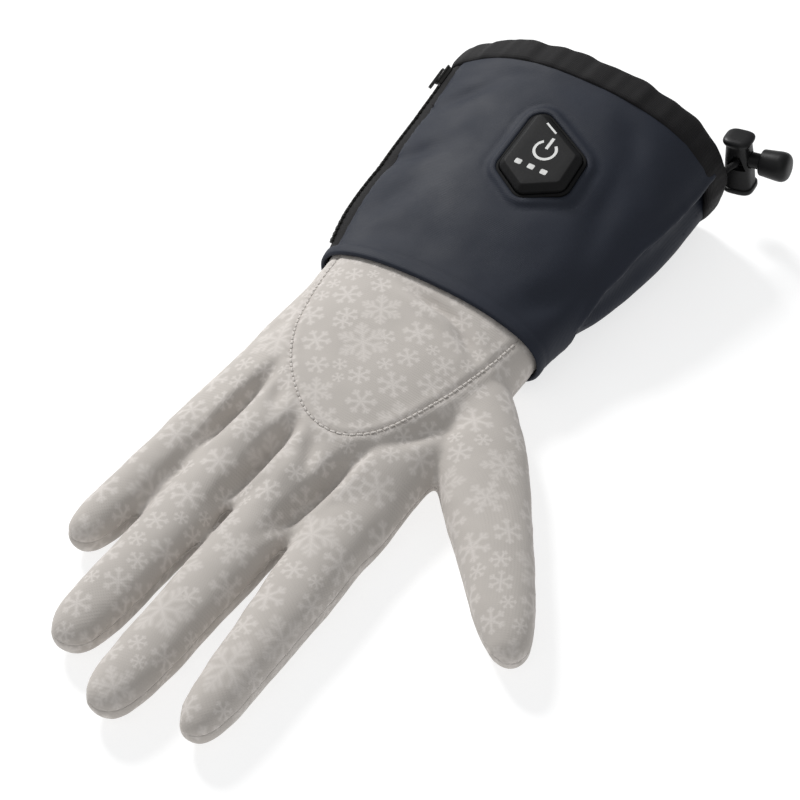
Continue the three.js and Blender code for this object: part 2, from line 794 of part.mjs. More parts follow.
function plungerGeometry() {
  const radius = plungerDiameter / 2;
  const stem = stemDiameter / 2;
  const seat = plungerTravel + fitGap;
  const profile = [
    [0, -stemLength], [stem, -stemLength], [stem, seat], [radius * 0.94, seat],
    [radius, seat + 0.8], [radius, seat + plungerHead * 0.72],
    [radius * 0.86, seat + plungerHead * 0.93], [radius * 0.5, seat + plungerHead],
    [0, seat + plungerHead],
  ].map(([r, h]) => new THREE.Vector2(r, h));
  const lathe = new THREE.LatheGeometry(profile, 24);
  lathe.rotateZ(-Math.PI / 2);
  lathe.translate(lockWidth / 2, 0, 0);
  const slotLength = cordDiameter + plungerTravel + 2 * fitGap;
  const slot = new THREE.BoxGeometry(slotLength, stemDiameter * 2, slotHeight);
  slot.translate(plungerTravel / 2, 0, 0);
  return geometryOf(solid(lathe).subtract(solid(slot)));
}

// Short cord from the channel's end into the lock, in the lock's own axes
lockGroup.updateMatrixWorld(true);
const cordPoints = [
  lockGroup.worldToLocal(cordExit.clone()),
  lockGroup.worldToLocal(cordExit.clone().setY(cordStart + cordDiameter)),
  { x: 0, y: -lockDepth / 2, z: 0 },
  { x: 0, y: -lockDepth / 4, z: 0 },
  { x: 0, y: 0, z: 0 },
  { x: 0, y: lockDepth / 4, z: 0 },
  { x: 0, y: lockDepth / 2 + cordTail, z: 0 },
];

function cordGeometry() {
  const route = new THREE.CatmullRomCurve3(
    cordPoints.map((p) => new THREE.Vector3(p.x, p.y, p.z)),
  );
  const section = new THREE.Shape();
  section.absarc(0, 0, cordDiameter / 2, 0, Math.PI * 2);
  return new THREE.ExtrudeGeometry(section, {
    steps: 14, curveSegments: 4, bevelEnabled: false, extrudePath: route,
  });
}

// Finishes
const finishes = {
  print: new THREE.MeshStandardMaterial({ color: 0xbab4af, roughness: 0.95, metalness: 0 }),
  softshell: new THREE.MeshStandardMaterial({ color: 0x2d323c, roughness: 0.75, metalness: 0 }),
  edging: new THREE.MeshStandardMaterial({ color: 0x1e1c1c, roughness: 0.85, metalness: 0 }),
  zip: new THREE.MeshStandardMaterial({ color: 0x373732, roughness: 0.8, metalness: 0 }),
  metal: new THREE.MeshStandardMaterial({ color: 0x6a6a66, roughness: 0.4, metalness: 0.8 }),
  rubber: new THREE.MeshStandardMaterial({ color: 0x1e1e1e, roughness: 0.5, metalness: 0 }),
  plastic: new THREE.MeshStandardMaterial({ color: 0x222222, roughness: 0.45, metalness: 0 }),
  light: new THREE.MeshStandardMaterial({ color: 0xc8c8c8, roughness: 0.4, metalness: 0 }),
};

const glove = new THREE.Group();

function place(name, geometry, finish, parent = glove) {
  const mesh = new THREE.Mesh(geometry, finishes[finish].clone());
  mesh.name = name;
  parent.add(mesh);
  return mesh;
}

place('back_panel', geometryOf(backPanel), 'print');
place('back_inset', geometryOf(backInset), 'print');
place('palm_panel', geometryOf(palmPanel), 'print');
place('cuff_top_panel', geometryOf(cuffTop), 'softshell');
place('cuff_side_gusset', geometryOf(sideGusset), 'softshell');
place('cuff_under_panel', geometryOf(cuffUnder), 'softshell');
place('cuff_binding', bindingGeometry(), 'edging');
place('zip_tape', geometryOf(zipTape), 'zip');
place('zip_chain', chainGeometry(zipStart + 0.06, 0.86), 'zip');
place('zip_slider', sliderGeometry(0.93), 'metal');

// Control: cup in the cuff, button in the cup, lights in the button
const cup = solid(outlineLoft([[cupOuter, -cupDepth], [cupOuter, 0.2]]))
  .subtract(solid(outlineLoft([[cupInner, -cupDepth + cupWall], [cupInner, 2]])));
place('control_base', geometryOf(cup), 'plastic', controlGroup);

const buttonFoot = -cupDepth + cupWall + buttonTravel + fitGap;
let button = solid(outlineLoft([
  [skirtGrow, buttonFoot],
  [skirtGrow, buttonHeight - buttonBevel],
  [0, buttonHeight],
]));
const rowTurn = -radians(buttonTurn);
for (let i = 0; i < lightCount; i += 1) {
  const offset = (i - (lightCount - 1) / 2) * lightPitch;
  const rowCentre = new THREE.Vector2(-buttonHeelWidth * 0.24, -buttonHeel * 0.33);
  const spot = rowCentre.add(
    new THREE.Vector2(Math.cos(rowTurn), Math.sin(rowTurn)).multiplyScalar(offset),
  );
  const pocket = new THREE.BoxGeometry(
    lightWidth + 2 * fitGap, lightLength + 2 * fitGap, lightDepth * 2 + 2 * fitGap,
  );
  pocket.rotateZ(rowTurn);
  pocket.translate(spot.x, spot.y, buttonHeight);
  button = button.subtract(solid(pocket));
  const pane = new THREE.BoxGeometry(lightWidth, lightLength, lightDepth);
  const light = place(`indicator_light_${i + 1}`, pane, 'light', controlGroup);
  light.position.set(spot.x, spot.y, buttonHeight - lightDepth / 2);
  light.rotation.set(0, 0, rowTurn);
}
place('control_button', geometryOf(button), 'rubber', controlGroup);
glove.add(controlGroup);

place('cord_lock_body', lockBodyGeometry(), 'plastic', lockGroup);
place('cord_lock_plunger', plungerGeometry(), 'plastic', lockGroup);
place('drawcord', cordGeometry(), 'edging', lockGroup);
glove.add(lockGroup);

// The origin is the middle of the glove's footprint, on the surface it lies on
const footprint = new THREE.Box3().setFromObject(glove);
const middle = footprint.getCenter(new THREE.Vector3());
for (const child of glove.children) {
  child.position.x -= middle.x;
  child.position.y -= middle.y;
}

export default glove;
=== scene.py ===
import json
import math
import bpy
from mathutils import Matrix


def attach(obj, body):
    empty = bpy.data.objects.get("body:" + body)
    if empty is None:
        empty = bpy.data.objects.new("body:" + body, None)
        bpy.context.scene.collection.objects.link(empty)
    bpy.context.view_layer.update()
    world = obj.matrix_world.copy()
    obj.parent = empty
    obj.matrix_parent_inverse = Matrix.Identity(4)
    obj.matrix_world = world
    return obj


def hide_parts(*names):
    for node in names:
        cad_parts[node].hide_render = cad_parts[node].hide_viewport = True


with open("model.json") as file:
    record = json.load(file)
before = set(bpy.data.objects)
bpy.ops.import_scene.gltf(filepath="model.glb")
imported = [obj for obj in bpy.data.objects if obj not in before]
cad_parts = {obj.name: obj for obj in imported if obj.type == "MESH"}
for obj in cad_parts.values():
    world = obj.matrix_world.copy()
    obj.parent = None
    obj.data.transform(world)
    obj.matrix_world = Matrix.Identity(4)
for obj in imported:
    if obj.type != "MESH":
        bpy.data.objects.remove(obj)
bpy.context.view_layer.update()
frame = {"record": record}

from types import SimpleNamespace

import bmesh
import bpy
import numpy as np
from bpy.props import FloatProperty, FloatVectorProperty, IntProperty, PointerProperty
from mathutils import Matrix, Vector, noise
from mathutils.bvhtree import BVHTree

bl_info = {
    "name": "Heated glove",
    "version": (1, 0, 0),
    "blender": (4, 5, 0),
    "location": "View3D > Sidebar > Glove",
    "description": "Dresses the packed glove with cloth, seams, zip, control and cord lock",
    "category": "Object",
}

# The hand meets the cuff at y = 0 of the glove's own axes. They are turned like
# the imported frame's, and the resting mount says where their origin lies.
REST_ALONG = 0.05
rest_mount = next(m for m in frame["record"]["mounts"] if m["name"] == "table_rest")
ORIGIN = np.array([rest_mount["pos_m"][0], rest_mount["pos_m"][1] + REST_ALONG, 0.0])


# Sizes and colours

def length(label, description, millimetres):
    return FloatProperty(
        name=label, description=description, default=millimetres / 1000,
        min=0.0, precision=4, unit="LENGTH", subtype="DISTANCE",
    )


def colour(label, description, red, green, blue):
    """A colour property from the 0 to 255 values that a picture of it shows."""
    def linear(value):
        share = value / 255
        return share / 12.92 if share <= 0.04045 else ((share + 0.055) / 1.055) ** 2.4

    return FloatVectorProperty(
        name=label, description=description, size=3, min=0.0, max=1.0, subtype="COLOR",
        default=(linear(red), linear(green), linear(blue)),
    )


class GloveSizes(bpy.types.PropertyGroup):
    hand_wall: length("Hand cloth", "Thickness of the printed jersey", 1.6)
    cuff_wall: length("Cuff cloth", "Thickness of the softshell", 1.8)
    palm_width: length("Palm width", "Width across the palm", 86)
    palm_length: length("Palm length", "From the cuff's hem to the finger roots", 104)
    wrist_height: length("Wrist height", "Height of the hand at the hem", 27.4)
    wrist_tuck: length("Wrist tuck", "How far the hand runs up inside the cuff", 6)
    seam_height: length("Side seam height", "Height of the seam round the fingers", 9.5)
    finger_height: length("Finger height", "Height of the lying fingers", 17)
    thumb_width: length("Thumb width", "Width of the thumb", 25)
    thumb_height: length("Thumb height", "Height of the lying thumb", 18.5)
    thumb_length: length("Thumb length", "Length of the thumb from its root", 120)
    cuff_length: length("Cuff length", "From the hem to the drawcord channel", 96)
    hem_width: length("Hem width", "Width of the cuff at the hem", 88)
    opening_width: length("Opening width", "Width of the cuff at the arm opening", 101)
    opening_height: length("Opening height", "Height of the cuff at the arm opening", 53)
    hem_height: length("Hem height", "Height of the cuff at the hem", 29.5)
    binding_width: length("Channel width", "Width of the drawcord channel", 9)
    binding_thickness: length("Channel thickness", "Thickness of the drawcord channel", 3.6)
    zip_width: length("Zip band width", "Width of the zip band", 8.5)
    zip_bulge: length("Zip bulge", "How far the zip band stands out of the cuff", 5)
    button_width: length("Button width", "Width of the push button", 24.4)
    button_point: length("Button point", "From the widest line to the apex", 19.6)
    button_heel: length("Button heel", "From the widest line to the heel", 10.6)
    button_heel_width: length("Heel width", "Width of the button's heel", 12.8)
    button_corner: length("Button corner", "Radius of the button's corners", 1.6)
    button_height: length("Button height", "Height of the button above the cuff", 3.6)
    button_bevel: length("Button bevel", "Width of the bevel round the button", 2)
    voxel: length("Cloth grain", "Size of the faces of the hand's cloth", 1.2)


class GloveColours(bpy.types.PropertyGroup):
    jersey: colour("Jersey", "Ground of the printed jersey", 183, 177, 171)
    flake: colour("Flakes", "Printed flakes on the jersey", 212, 206, 201)
    softshell: colour("Softshell", "Cuff cloth", 34, 38, 48)
    edging: colour("Edging", "Drawcord channel and cord", 21, 20, 21)
    zip_band: colour("Zip band", "Zip band and coils", 34, 34, 32)
    plastic: colour("Plastic", "Cord lock and control cup", 18, 18, 19)
    rubber: colour("Rubber", "Push button", 13, 13, 14)
    thread: colour("Thread", "Stitches round the inset", 206, 200, 194)
    print_ink: colour("Print", "Marks printed on the button", 214, 214, 212)
    metal: colour("Metal", "Zip slider", 38, 37, 35)
    floor: colour("Floor", "Floor that the glove lies on", 164.75, 164.75, 164.75)


def sizes_in_mm(scene):
    group = scene.glove_sizes
    names = GloveSizes.__annotations__
    return SimpleNamespace(**{name: getattr(group, name) * 1000 for name in names})


# Tables of the form, as shares of the sizes above, along the hand or the cuff

def table(columns, *rows):
    """Rows of a table, each one by the names of its columns."""
    names = columns.split()
    return [dict(zip(names, row)) for row in rows]


PALM_ROWS = table(
    "along left right crown",
    (0.1, -0.48, 0.478, 1.0),
    (0.22, -0.482, 0.484, 0.995),
    (0.36, -0.482, 0.486, 0.98),
    (0.5, -0.482, 0.49, 0.95),
    (0.63, -0.488, 0.496, 0.89),
    (0.76, -0.498, 0.506, 0.8),
    (0.87, -0.503, 0.516, 0.7),
    (0.95, -0.49, 0.505, 0.58),
    (1.0, -0.45, 0.46, 0.42),
)

# Reach and width in millimetres, places as shares of palm width
FINGER_ROWS = table(
    "reach width root tip start taper",
    (142.5, 17.8, -0.37, -0.42, 0.4, 0.86),
    (177.5, 21.4, -0.185, -0.155, 0.38, 0.92),
    (191.5, 22.2, 0.085, 0.132, 0.37, 0.88),
    (184.0, 26.6, 0.335, 0.463, 0.37, 0.6),
)

FINGER_SECTIONS = table(
    "along width height",
    (0.0, 0.9, 1.14),
    (0.22, 0.97, 1.16),
    (0.42, 1.0, 1.1),
    (0.62, 1.0, 1.0),
    (0.8, 0.98, 0.94),
    (0.9, 0.9, 0.85),
    (0.955, 0.75, 0.7),
    (0.985, 0.52, 0.48),
    (1.0, 0.22, 0.2),
)

THUMB_SECTIONS = table(
    "along width height",
    (0.0, 1.0, 1.16),
    (0.15, 1.16, 1.24),
    (0.3, 1.22, 1.2),
    (0.46, 1.14, 1.1),
    (0.6, 1.0, 1.02),
    (0.74, 0.88, 0.95),
    (0.85, 0.76, 0.87),
    (0.925, 0.6, 0.74),
    (0.975, 0.4, 0.52),
    (1.0, 0.16, 0.22),
)
THUMB_ROOT = (0.308, -0.147)
THUMB_ANGLE = math.radians(39.9)

# Folds: middle across and along, heading in degrees from +X, half length and
# half width as shares of the width, depth as a share of the height
HAND_FOLDS = table(
    "across along heading length width depth",
    (-0.275, 0.72, 84, 0.26, 0.032, 0.25),
    (-0.05, 0.82, 84, 0.25, 0.034, 0.3),
    (0.215, 0.84, 80, 0.24, 0.036, 0.28),
    (-0.16, 0.62, 112, 0.1, 0.03, 0.07),
    (0.1, 0.76, 118, 0.1, 0.03, 0.08),
    (-0.17, 0.8, 86, 0.16, 0.05, -0.06),
    (0.07, 0.88, 86, 0.16, 0.05, -0.06),
    (0.08, 0.05, 172, 0.15, 0.022, 0.1),
    (0.1, 0.1, 168, 0.18, 0.026, -0.05),
    (0.26, 0.11, 150, 0.12, 0.03, 0.1),
    (0.36, 0.5, 62, 0.2, 0.05, 0.12),
    (-0.4, 0.35, 70, 0.14, 0.04, 0.04),
)

INSET_OUTLINE = [
    (-0.43, -0.09), (-0.415, 0.06), (-0.37, 0.22), (-0.3, 0.38), (-0.19, 0.52),
    (-0.05, 0.625), (0.07, 0.665), (0.18, 0.65), (0.27, 0.57), (0.335, 0.43),
    (0.385, 0.22), (0.42, -0.09),
]

CUFF_ROWS = table(
    "along flare rise bulge thumb",
    (0.0, 0.0, 0.0, 0.0, 0.0),
    (0.05, 0.06, 0.045, 0.12, 0.0),
    (0.16, 0.2, 0.15, 0.5, 0.1),
    (0.28, 0.34, 0.27, 0.7, 0.35),
    (0.42, 0.48, 0.41, 0.74, 0.72),
    (0.56, 0.62, 0.55, 0.74, 0.92),
    (0.7, 0.75, 0.69, 0.76, 1.04),
    (0.84, 0.87, 0.84, 0.86, 1.06),
    (0.93, 0.95, 0.93, 1.0, 1.03),
    (1.0, 1.0, 1.0, 0.9, 1.0),
)

CUFF_FOLDS = table(
    "across along heading length width depth",
    (-0.36, 0.5, 35, 0.12, 0.04, 0.03),
    (-0.34, 0.8, 40, 0.13, 0.035, 0.03),
    (0.36, 0.18, 60, 0.14, 0.05, 0.03),
)

# Room between pieces that fit in one another, in millimetres
FIT_GAP = 0.3

# The side wedge's seam, along the cuff and up it, and the height of the wedge's foot
GUSSET_SEAM = [(0.17, 0.14), (0.21, 0.28), (0.36, 0.42), (0.57, 0.5), (0.8, 0.52), (1.02, 0.55)]
GUSSET_FOOT = 0.11

# The zip band's foot at the hem, its climb to the opening and its start along the cuff
ZIP_FOOT = 0.24
ZIP_CLIMB = 0.3
ZIP_START = 0.045


# Form helpers

def along_rows(rows, key, places):
    """A smooth curve through one column of a table."""
    xs = np.array([row["along"] for row in rows])
    ys = np.array([row[key] for row in rows])
    slopes = np.gradient(ys, xs)
    places = np.clip(np.asarray(places, float), xs[0], xs[-1])
    index = np.clip(np.searchsorted(xs, places, side="right") - 1, 0, len(xs) - 2)
    step = xs[index + 1] - xs[index]
    t = (places - xs[index]) / step
    first = (2 * t**3 - 3 * t**2 + 1) * ys[index] + (t**3 - 2 * t**2 + t) * step * slopes[index]
    last = (3 * t**2 - 2 * t**3) * ys[index + 1] + (t**3 - t**2) * step * slopes[index + 1]
    return first + last


def full_turn(count):
    """Angles spread evenly over one turn."""
    return np.arange(count) / count * 2 * math.pi


def soft_square(angle, power):
    """Places across and along on an outline between a circle and a square."""
    across = np.sign(np.cos(angle)) * np.abs(np.cos(angle)) ** power
    along = np.sign(np.sin(angle)) * np.abs(np.sin(angle)) ** power
    return across, along


def section(half, above, below, middle, floor, square, count):
    """A closed cloth section: rounded above and flattened where it rests."""
    across, up = soft_square(full_turn(count), 2 / square)
    height = np.maximum(middle + up * np.where(up > 0, above, below), floor)
    return across * half, height


def fold_depth(folds, x, y, width, reach, height):
    depth = np.zeros_like(x)
    for fold in folds:
        turn = math.radians(fold["heading"])
        dx = x - fold["across"] * width
        dy = y - fold["along"] * reach
        u = (dx * math.cos(turn) + dy * math.sin(turn)) / (fold["length"] * width)
        v = (-dx * math.sin(turn) + dy * math.cos(turn)) / (fold["width"] * width)
        depth += fold["depth"] * height * np.exp(-u * u * 1.5 - v * v)
    return depth


def smooth_step(value, low, high):
    t = np.clip((value - low) / (high - low), 0, 1)
    return t * t * (3 - 2 * t)


def bell(value, width, middle=0.0):
    """A smooth rise to 1 at the middle that fades over the width."""
    return np.exp(-((value - middle) / width) ** 2)


def noise_at(points, scale, seed, octaves=2):
    """Soft noise from -1 to 1 at each point, in millimetres."""
    shift = Vector((seed * 17.3, seed * 5.1, seed * 9.7))
    return np.array([
        noise.fractal(Vector(point) / scale + shift, 1.0, 2.0, octaves) for point in points
    ])


def signed_distance(points, line):
    """Distance of flat points to an open line, positive on its right, and the
    run along the line of the nearest place."""
    best = np.full(len(points), 1e9)
    sign = np.ones(len(points))
    run = np.zeros(len(points))
    walked = 0.0
    for here, after in zip(line[:-1], line[1:]):
        way = after - here
        size = np.hypot(*way)
        local = points - here
        t = np.clip(local @ way / size**2, 0, 1)
        gap = local - t[:, None] * way
        distance = np.hypot(gap[:, 0], gap[:, 1])
        nearer = distance < best
        cross = way[0] * local[:, 1] - way[1] * local[:, 0]
        best = np.where(nearer, distance, best)
        sign = np.where(nearer, np.where(cross > 0, -1.0, 1.0), sign)
        run = np.where(nearer, walked + t * size, run)
        walked += size
    return best * sign, run


# Short steps that a smooth line is worked out in, between two given points
LINE_STEPS = 20


def smooth_line(points, count, closed=False):
    """A smooth line of evenly spread points through a few given ones."""
    given = [np.array(p, float) for p in points]
    total = len(given)
    fine = []
    spans = total if closed else total - 1
    for i in range(spans):
        if closed:
            p = [given[(i + k) % total] for k in (-1, 0, 1, 2)]
        else:
            p = [given[min(max(i + k, 0), total - 1)] for k in (-1, 0, 1, 2)]
        for step in range(LINE_STEPS):
            t = step / LINE_STEPS
            fine.append(0.5 * (
                2 * p[1] + (p[2] - p[0]) * t
                + (2 * p[0] - 5 * p[1] + 4 * p[2] - p[3]) * t**2
                + (3 * p[1] - p[0] - 3 * p[2] + p[3]) * t**3
            ))
    fine.append(given[0] if closed else given[-1])
    fine = np.array(fine)
    run = np.concatenate([[0], np.cumsum(np.linalg.norm(np.diff(fine, axis=0), axis=1))])
    even = np.linspace(0, run[-1], count + 1 if closed else count)
    line = np.stack([np.interp(even, run, fine[:, k]) for k in range(fine.shape[1])], axis=1)
    return line[:-1] if closed else line


# Mesh helpers

def to_frame(points):
    return np.asarray(points) / 1000 + ORIGIN


def read_points(mesh):
    flat = np.empty(len(mesh.vertices) * 3)
    mesh.vertices.foreach_get("co", flat)
    return (flat.reshape(-1, 3) - ORIGIN) * 1000


def write_points(mesh, points):
    mesh.vertices.foreach_set("co", to_frame(points).ravel())
    mesh.update()


def read_normals(mesh):
    flat = np.empty(len(mesh.vertices) * 3)
    mesh.vertex_normals.foreach_get("vector", flat)
    return flat.reshape(-1, 3)


def reshape(bm, move):
    """Moves the mesh's points, by a function of them and of their normals, and
    keeps them above the floor."""
    mesh = bpy.data.meshes.new("reshaped")
    bm.to_mesh(mesh)
    bm.free()
    points = move(read_points(mesh), read_normals(mesh))
    points[:, 2] = np.maximum(points[:, 2], 0)
    write_points(mesh, points)
    shaped = bmesh.new()
    shaped.from_mesh(mesh)
    bpy.data.meshes.remove(mesh)
    return shaped


def make_object(name, bm):
    mesh = bpy.data.meshes.new(name)
    bm.to_mesh(mesh)
    bm.free()
    made = bpy.data.objects.new(name, mesh)
    bpy.context.scene.collection.objects.link(made)
    return made


def set_row(row, points):
    for vertex, point in zip(row, to_frame(points)):
        vertex.co = point


def next_row(bm, row, points, closed=True):
    """Extrudes a row of vertices and puts the new row at the given points."""
    count = len(row)
    pairs = range(count if closed else count - 1)
    edges = [bm.edges.get((row[i], row[(i + 1) % count])) for i in pairs]
    made = bmesh.ops.extrude_edge_only(bm, edges=edges)
    fresh = {item for item in made["geom"] if isinstance(item, bmesh.types.BMVert)}
    new = []
    for vertex in row:
        new.append(next(
            edge.other_vert(vertex) for edge in vertex.link_edges
            if edge.other_vert(vertex) in fresh
        ))
    set_row(new, points)
    return new


def loft(bm, rings, caps=True):
    """A tube through closed rings of points, in millimetres."""
    made = bmesh.ops.create_circle(bm, cap_ends=False, radius=1.0, segments=len(rings[0]))
    row = made["verts"]
    set_row(row, rings[0])
    rows = [row]
    for ring in rings[1:]:
        row = next_row(bm, row, ring)
        rows.append(row)
    if caps:
        for end in (rows[0], rows[-1]):
            bmesh.ops.contextual_create(bm, geom=end)
    return rows


def outwards(bm):
    bmesh.ops.recalc_face_normals(bm, faces=bm.faces)


def cut_along(bm, field, faces=None, clear=False):
    """Cuts the mesh where a field of its points changes sign. The field is
    laid out flat as X, the mesh is bisected there, and is put back."""
    keep = bm.verts.layers.float_vector.new("keep")
    points = (np.array([v.co for v in bm.verts]) - ORIGIN) * 1000
    values = field(points)
    for vertex, value in zip(bm.verts, values):
        vertex[keep] = vertex.co
        vertex.co.x = value / 1000
    if faces is None:
        faces = list(bm.faces)
    geom = set(faces)
    for face in faces:
        geom.update(face.edges)
        geom.update(face.verts)
    bmesh.ops.bisect_plane(
        bm, geom=list(geom), dist=1e-7, plane_co=(0, 0, 0), plane_no=(1, 0, 0),
        clear_outer=clear, clear_inner=False,
    )
    for vertex in bm.verts:
        vertex.co = vertex[keep]
    bm.verts.layers.float_vector.remove(keep)


def face_points(bm):
    return (np.array([f.calc_center_median() for f in bm.faces]) - ORIGIN) * 1000


def part_of(bm, wanted):
    """A copy of the mesh that holds only the faces whose flag is set."""
    copy = bm.copy()
    copy.faces.ensure_lookup_table()
    drop = [face for face, flag in zip(copy.faces, wanted) if not flag]
    bmesh.ops.delete(copy, geom=drop, context="FACES")
    return copy


def carve(bm, cutter):
    """Takes one closed shape out of another."""
    body, tool = make_object("carved", bm), make_object("cutter", cutter)
    cut = body.modifiers.new("cut", "BOOLEAN")
    cut.operation = "DIFFERENCE"
    cut.solver = "EXACT"
    cut.object = tool
    graph = bpy.context.evaluated_depsgraph_get()
    left = bmesh.new()
    left.from_mesh(body.evaluated_get(graph).to_mesh())
    bpy.data.objects.remove(body)
    bpy.data.objects.remove(tool)
    bmesh.ops.remove_doubles(left, verts=left.verts, dist=1e-6)
    return left


def slab(bm, outline, low, high, lay):
    """A flat plate on an outline, put in place by a function of its points."""
    made = bmesh.ops.create_circle(bm, cap_ends=False, radius=1.0, segments=len(outline))
    row = made["verts"]
    flat = np.asarray(outline)
    set_row(row, lay(np.column_stack([flat, np.full(len(flat), low)])))
    bmesh.ops.contextual_create(bm, geom=row)
    upper = next_row(bm, row, lay(np.column_stack([flat, np.full(len(flat), high)])))
    bmesh.ops.contextual_create(bm, geom=upper)


def add_block(bm, middle, turn, sizes):
    """A block by its middle, turn and three sizes, in millimetres."""
    shape = Matrix.Diagonal((*[value / 1000 for value in sizes], 1.0))
    place = Matrix.Translation(Vector(to_frame(middle))) @ turn.to_4x4() @ shape
    bmesh.ops.create_cube(bm, size=1.0, matrix=place)


def bevel_blocks(bm, width, segments):
    bmesh.ops.bevel(
        bm, geom=list(bm.edges), offset=width / 1000, segments=segments, profile=0.5,
        affect="EDGES", material=-1,
    )


def round_edges(made, width, angle=35, segments=3):
    bevel = made.modifiers.new("soft_edges", "BEVEL")
    bevel.width = width / 1000
    bevel.segments = segments
    bevel.limit_method = "ANGLE"
    bevel.angle_limit = math.radians(angle)


def surface_tree(made):
    bm = bmesh.new()
    bm.from_mesh(made.data)
    tree = BVHTree.FromBMesh(bm)
    bm.free()
    return tree


def touch(tree, point, way):
    """Where a ray from a point, in millimetres, meets a surface, and its normal there."""
    start = Vector(to_frame(np.array(point, float)))
    hit, normal, _, _ = tree.ray_cast(start, Vector(way))
    if hit is None:
        raise RuntimeError(f"no surface under {point}")
    return (np.array(hit) - ORIGIN) * 1000, np.array(normal)


def smooth_shade(made, angle=None):
    made.data.shade_smooth()
    if angle is not None:
        made.data.set_sharp_from_angle(angle=math.radians(angle))


def wall(made, thickness):
    """Gives a cloth surface its thickness, inwards."""
    solid = made.modifiers.new("cloth_wall", "SOLIDIFY")
    solid.thickness = thickness / 1000
    solid.offset = -1
    solid.use_even_offset = False
    solid.use_rim = True


def finish_piece(made, body, slot, material, *nodes):
    made.data.materials.clear()
    made.data.materials.append(material)
    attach(made, body)
    if nodes:
        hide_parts(*nodes)


def unwrap(made, flip=False):
    """Flattens the cloth and lays it in millimetres on the plane that it was
    cut from, so that its middle keeps the place it has on the hand."""
    bpy.ops.object.select_all(action="DESELECT")
    made.select_set(True)
    bpy.context.view_layer.objects.active = made
    mesh = made.data
    mesh.uv_layers.new(name="cloth")
    corner = np.empty(len(mesh.loops), dtype=np.int32)
    mesh.loops.foreach_get("vertex_index", corner)
    ground = read_points(mesh)[corner][:, :2]
    bpy.ops.object.mode_set(mode="EDIT")
    bpy.ops.mesh.select_all(action="SELECT")
    bpy.ops.uv.select_all(action="SELECT")
    bpy.ops.uv.unwrap(method="MINIMUM_STRETCH", iterations=12, margin=0.0)
    bpy.ops.object.mode_set(mode="OBJECT")
    mesh = made.data
    flat = np.empty(len(mesh.loops) * 2)
    mesh.uv_layers[0].uv.foreach_get("vector", flat)
    uv = flat.reshape(-1, 2)
    weight = np.clip(np.abs(read_normals(mesh)[corner][:, 2]) - 0.6, 0, 1)
    weight /= weight.sum()
    uv_mid = weight @ uv
    ground_mid = weight @ ground
    source = (uv[:, 0] - uv_mid[0]) + 1j * (uv[:, 1] - uv_mid[1])
    if flip:
        source = np.conj(source)
    target = (ground[:, 0] - ground_mid[0]) + 1j * (ground[:, 1] - ground_mid[1])
    turn = (weight * target * np.conj(source)).sum() / (weight * np.abs(source) ** 2).sum()
    laid = source * turn
    laid = np.stack([laid.real + ground_mid[0], laid.imag + ground_mid[1]], axis=1)
    mesh.uv_layers[0].uv.foreach_set("vector", laid.ravel())
    return laid


# Hand form

def zip_low(size, along):
    """Lower edge of the zip band, which climbs towards the arm opening."""
    return (ZIP_FOOT + ZIP_CLIMB * along) * size.opening_height


def cuff_ring(size, along, inset, count):
    left = -(size.hem_width + (size.opening_width - size.hem_width)
             * along_rows(CUFF_ROWS, "flare", along)) / 2 + inset
    right = (size.hem_width + (size.opening_width - size.hem_width) * 1.3
             * along_rows(CUFF_ROWS, "thumb", along)) / 2 - inset
    crown = size.hem_height + (size.opening_height - size.hem_height) * along_rows(
        CUFF_ROWS, "rise", along) - inset
    bulge = along_rows(CUFF_ROWS, "bulge", along)
    middle = crown * 0.44
    across, height = section(
        (right - left) / 2, crown - middle, middle + 3 - inset, middle, inset, 2.3, count,
    )
    x = (left + right) / 2 + across
    y = along * size.cuff_length
    along = min(along, 1.0)
    zip_middle = zip_low(size, along) + size.zip_width / 2
    top = np.maximum(0, (height - middle) / (crown - middle))
    sink = fold_depth(
        CUFF_FOLDS, x, np.full_like(x, y), size.opening_width, size.cuff_length,
        size.opening_height,
    ) * np.minimum(1, top * 1.6)
    near = (height - zip_middle) / size.zip_width
    x = np.where(across < 0, x - size.zip_bulge * bulge * np.exp(-near * near * 1.6), x)
    return np.stack([x, np.full_like(x, y), np.maximum(height - sink, inset)], axis=1)


def palm_ring(size, along, count):
    left = along_rows(PALM_ROWS, "left", along) * size.palm_width
    right = along_rows(PALM_ROWS, "right", along) * size.palm_width
    share = along_rows(PALM_ROWS, "crown", along)
    crown = share * size.wrist_height
    middle = size.seam_height + (share - 1) * 4
    across, height = section(
        (right - left) / 2, crown - middle, middle + 1.5, middle, 0.0, 2.5, count,
    )
    x = (left + right) / 2 + across
    return np.stack([x, np.full_like(x, -along * size.palm_length), height], axis=1)


def digit_rings(sections, root, tip, width, height, taper, count):
    root, tip = np.array(root, float), np.array(tip, float)
    way = tip - root
    reach = np.hypot(*way)
    way /= reach
    side = np.array([-way[1], way[0]])
    rings = []
    for along in np.concatenate([np.linspace(0, 0.9, 30), np.linspace(0.915, 1.0, 12)]):
        centre = root + way * along * reach
        half = float(along_rows(sections, "width", along)) * width * (1 - (1 - taper) * along) / 2
        tall = float(along_rows(sections, "height", along)) * height / 2
        across, up = section(
            max(half, 0.6), max(tall, 0.5), max(tall, 0.5) * 1.08, height / 2, 0.0, 2.25, count,
        )
        rings.append(np.stack([
            centre[0] + side[0] * across, centre[1] + side[1] * across, up,
        ], axis=1))
    return rings


SMOOTHING_ROUNDS = 7


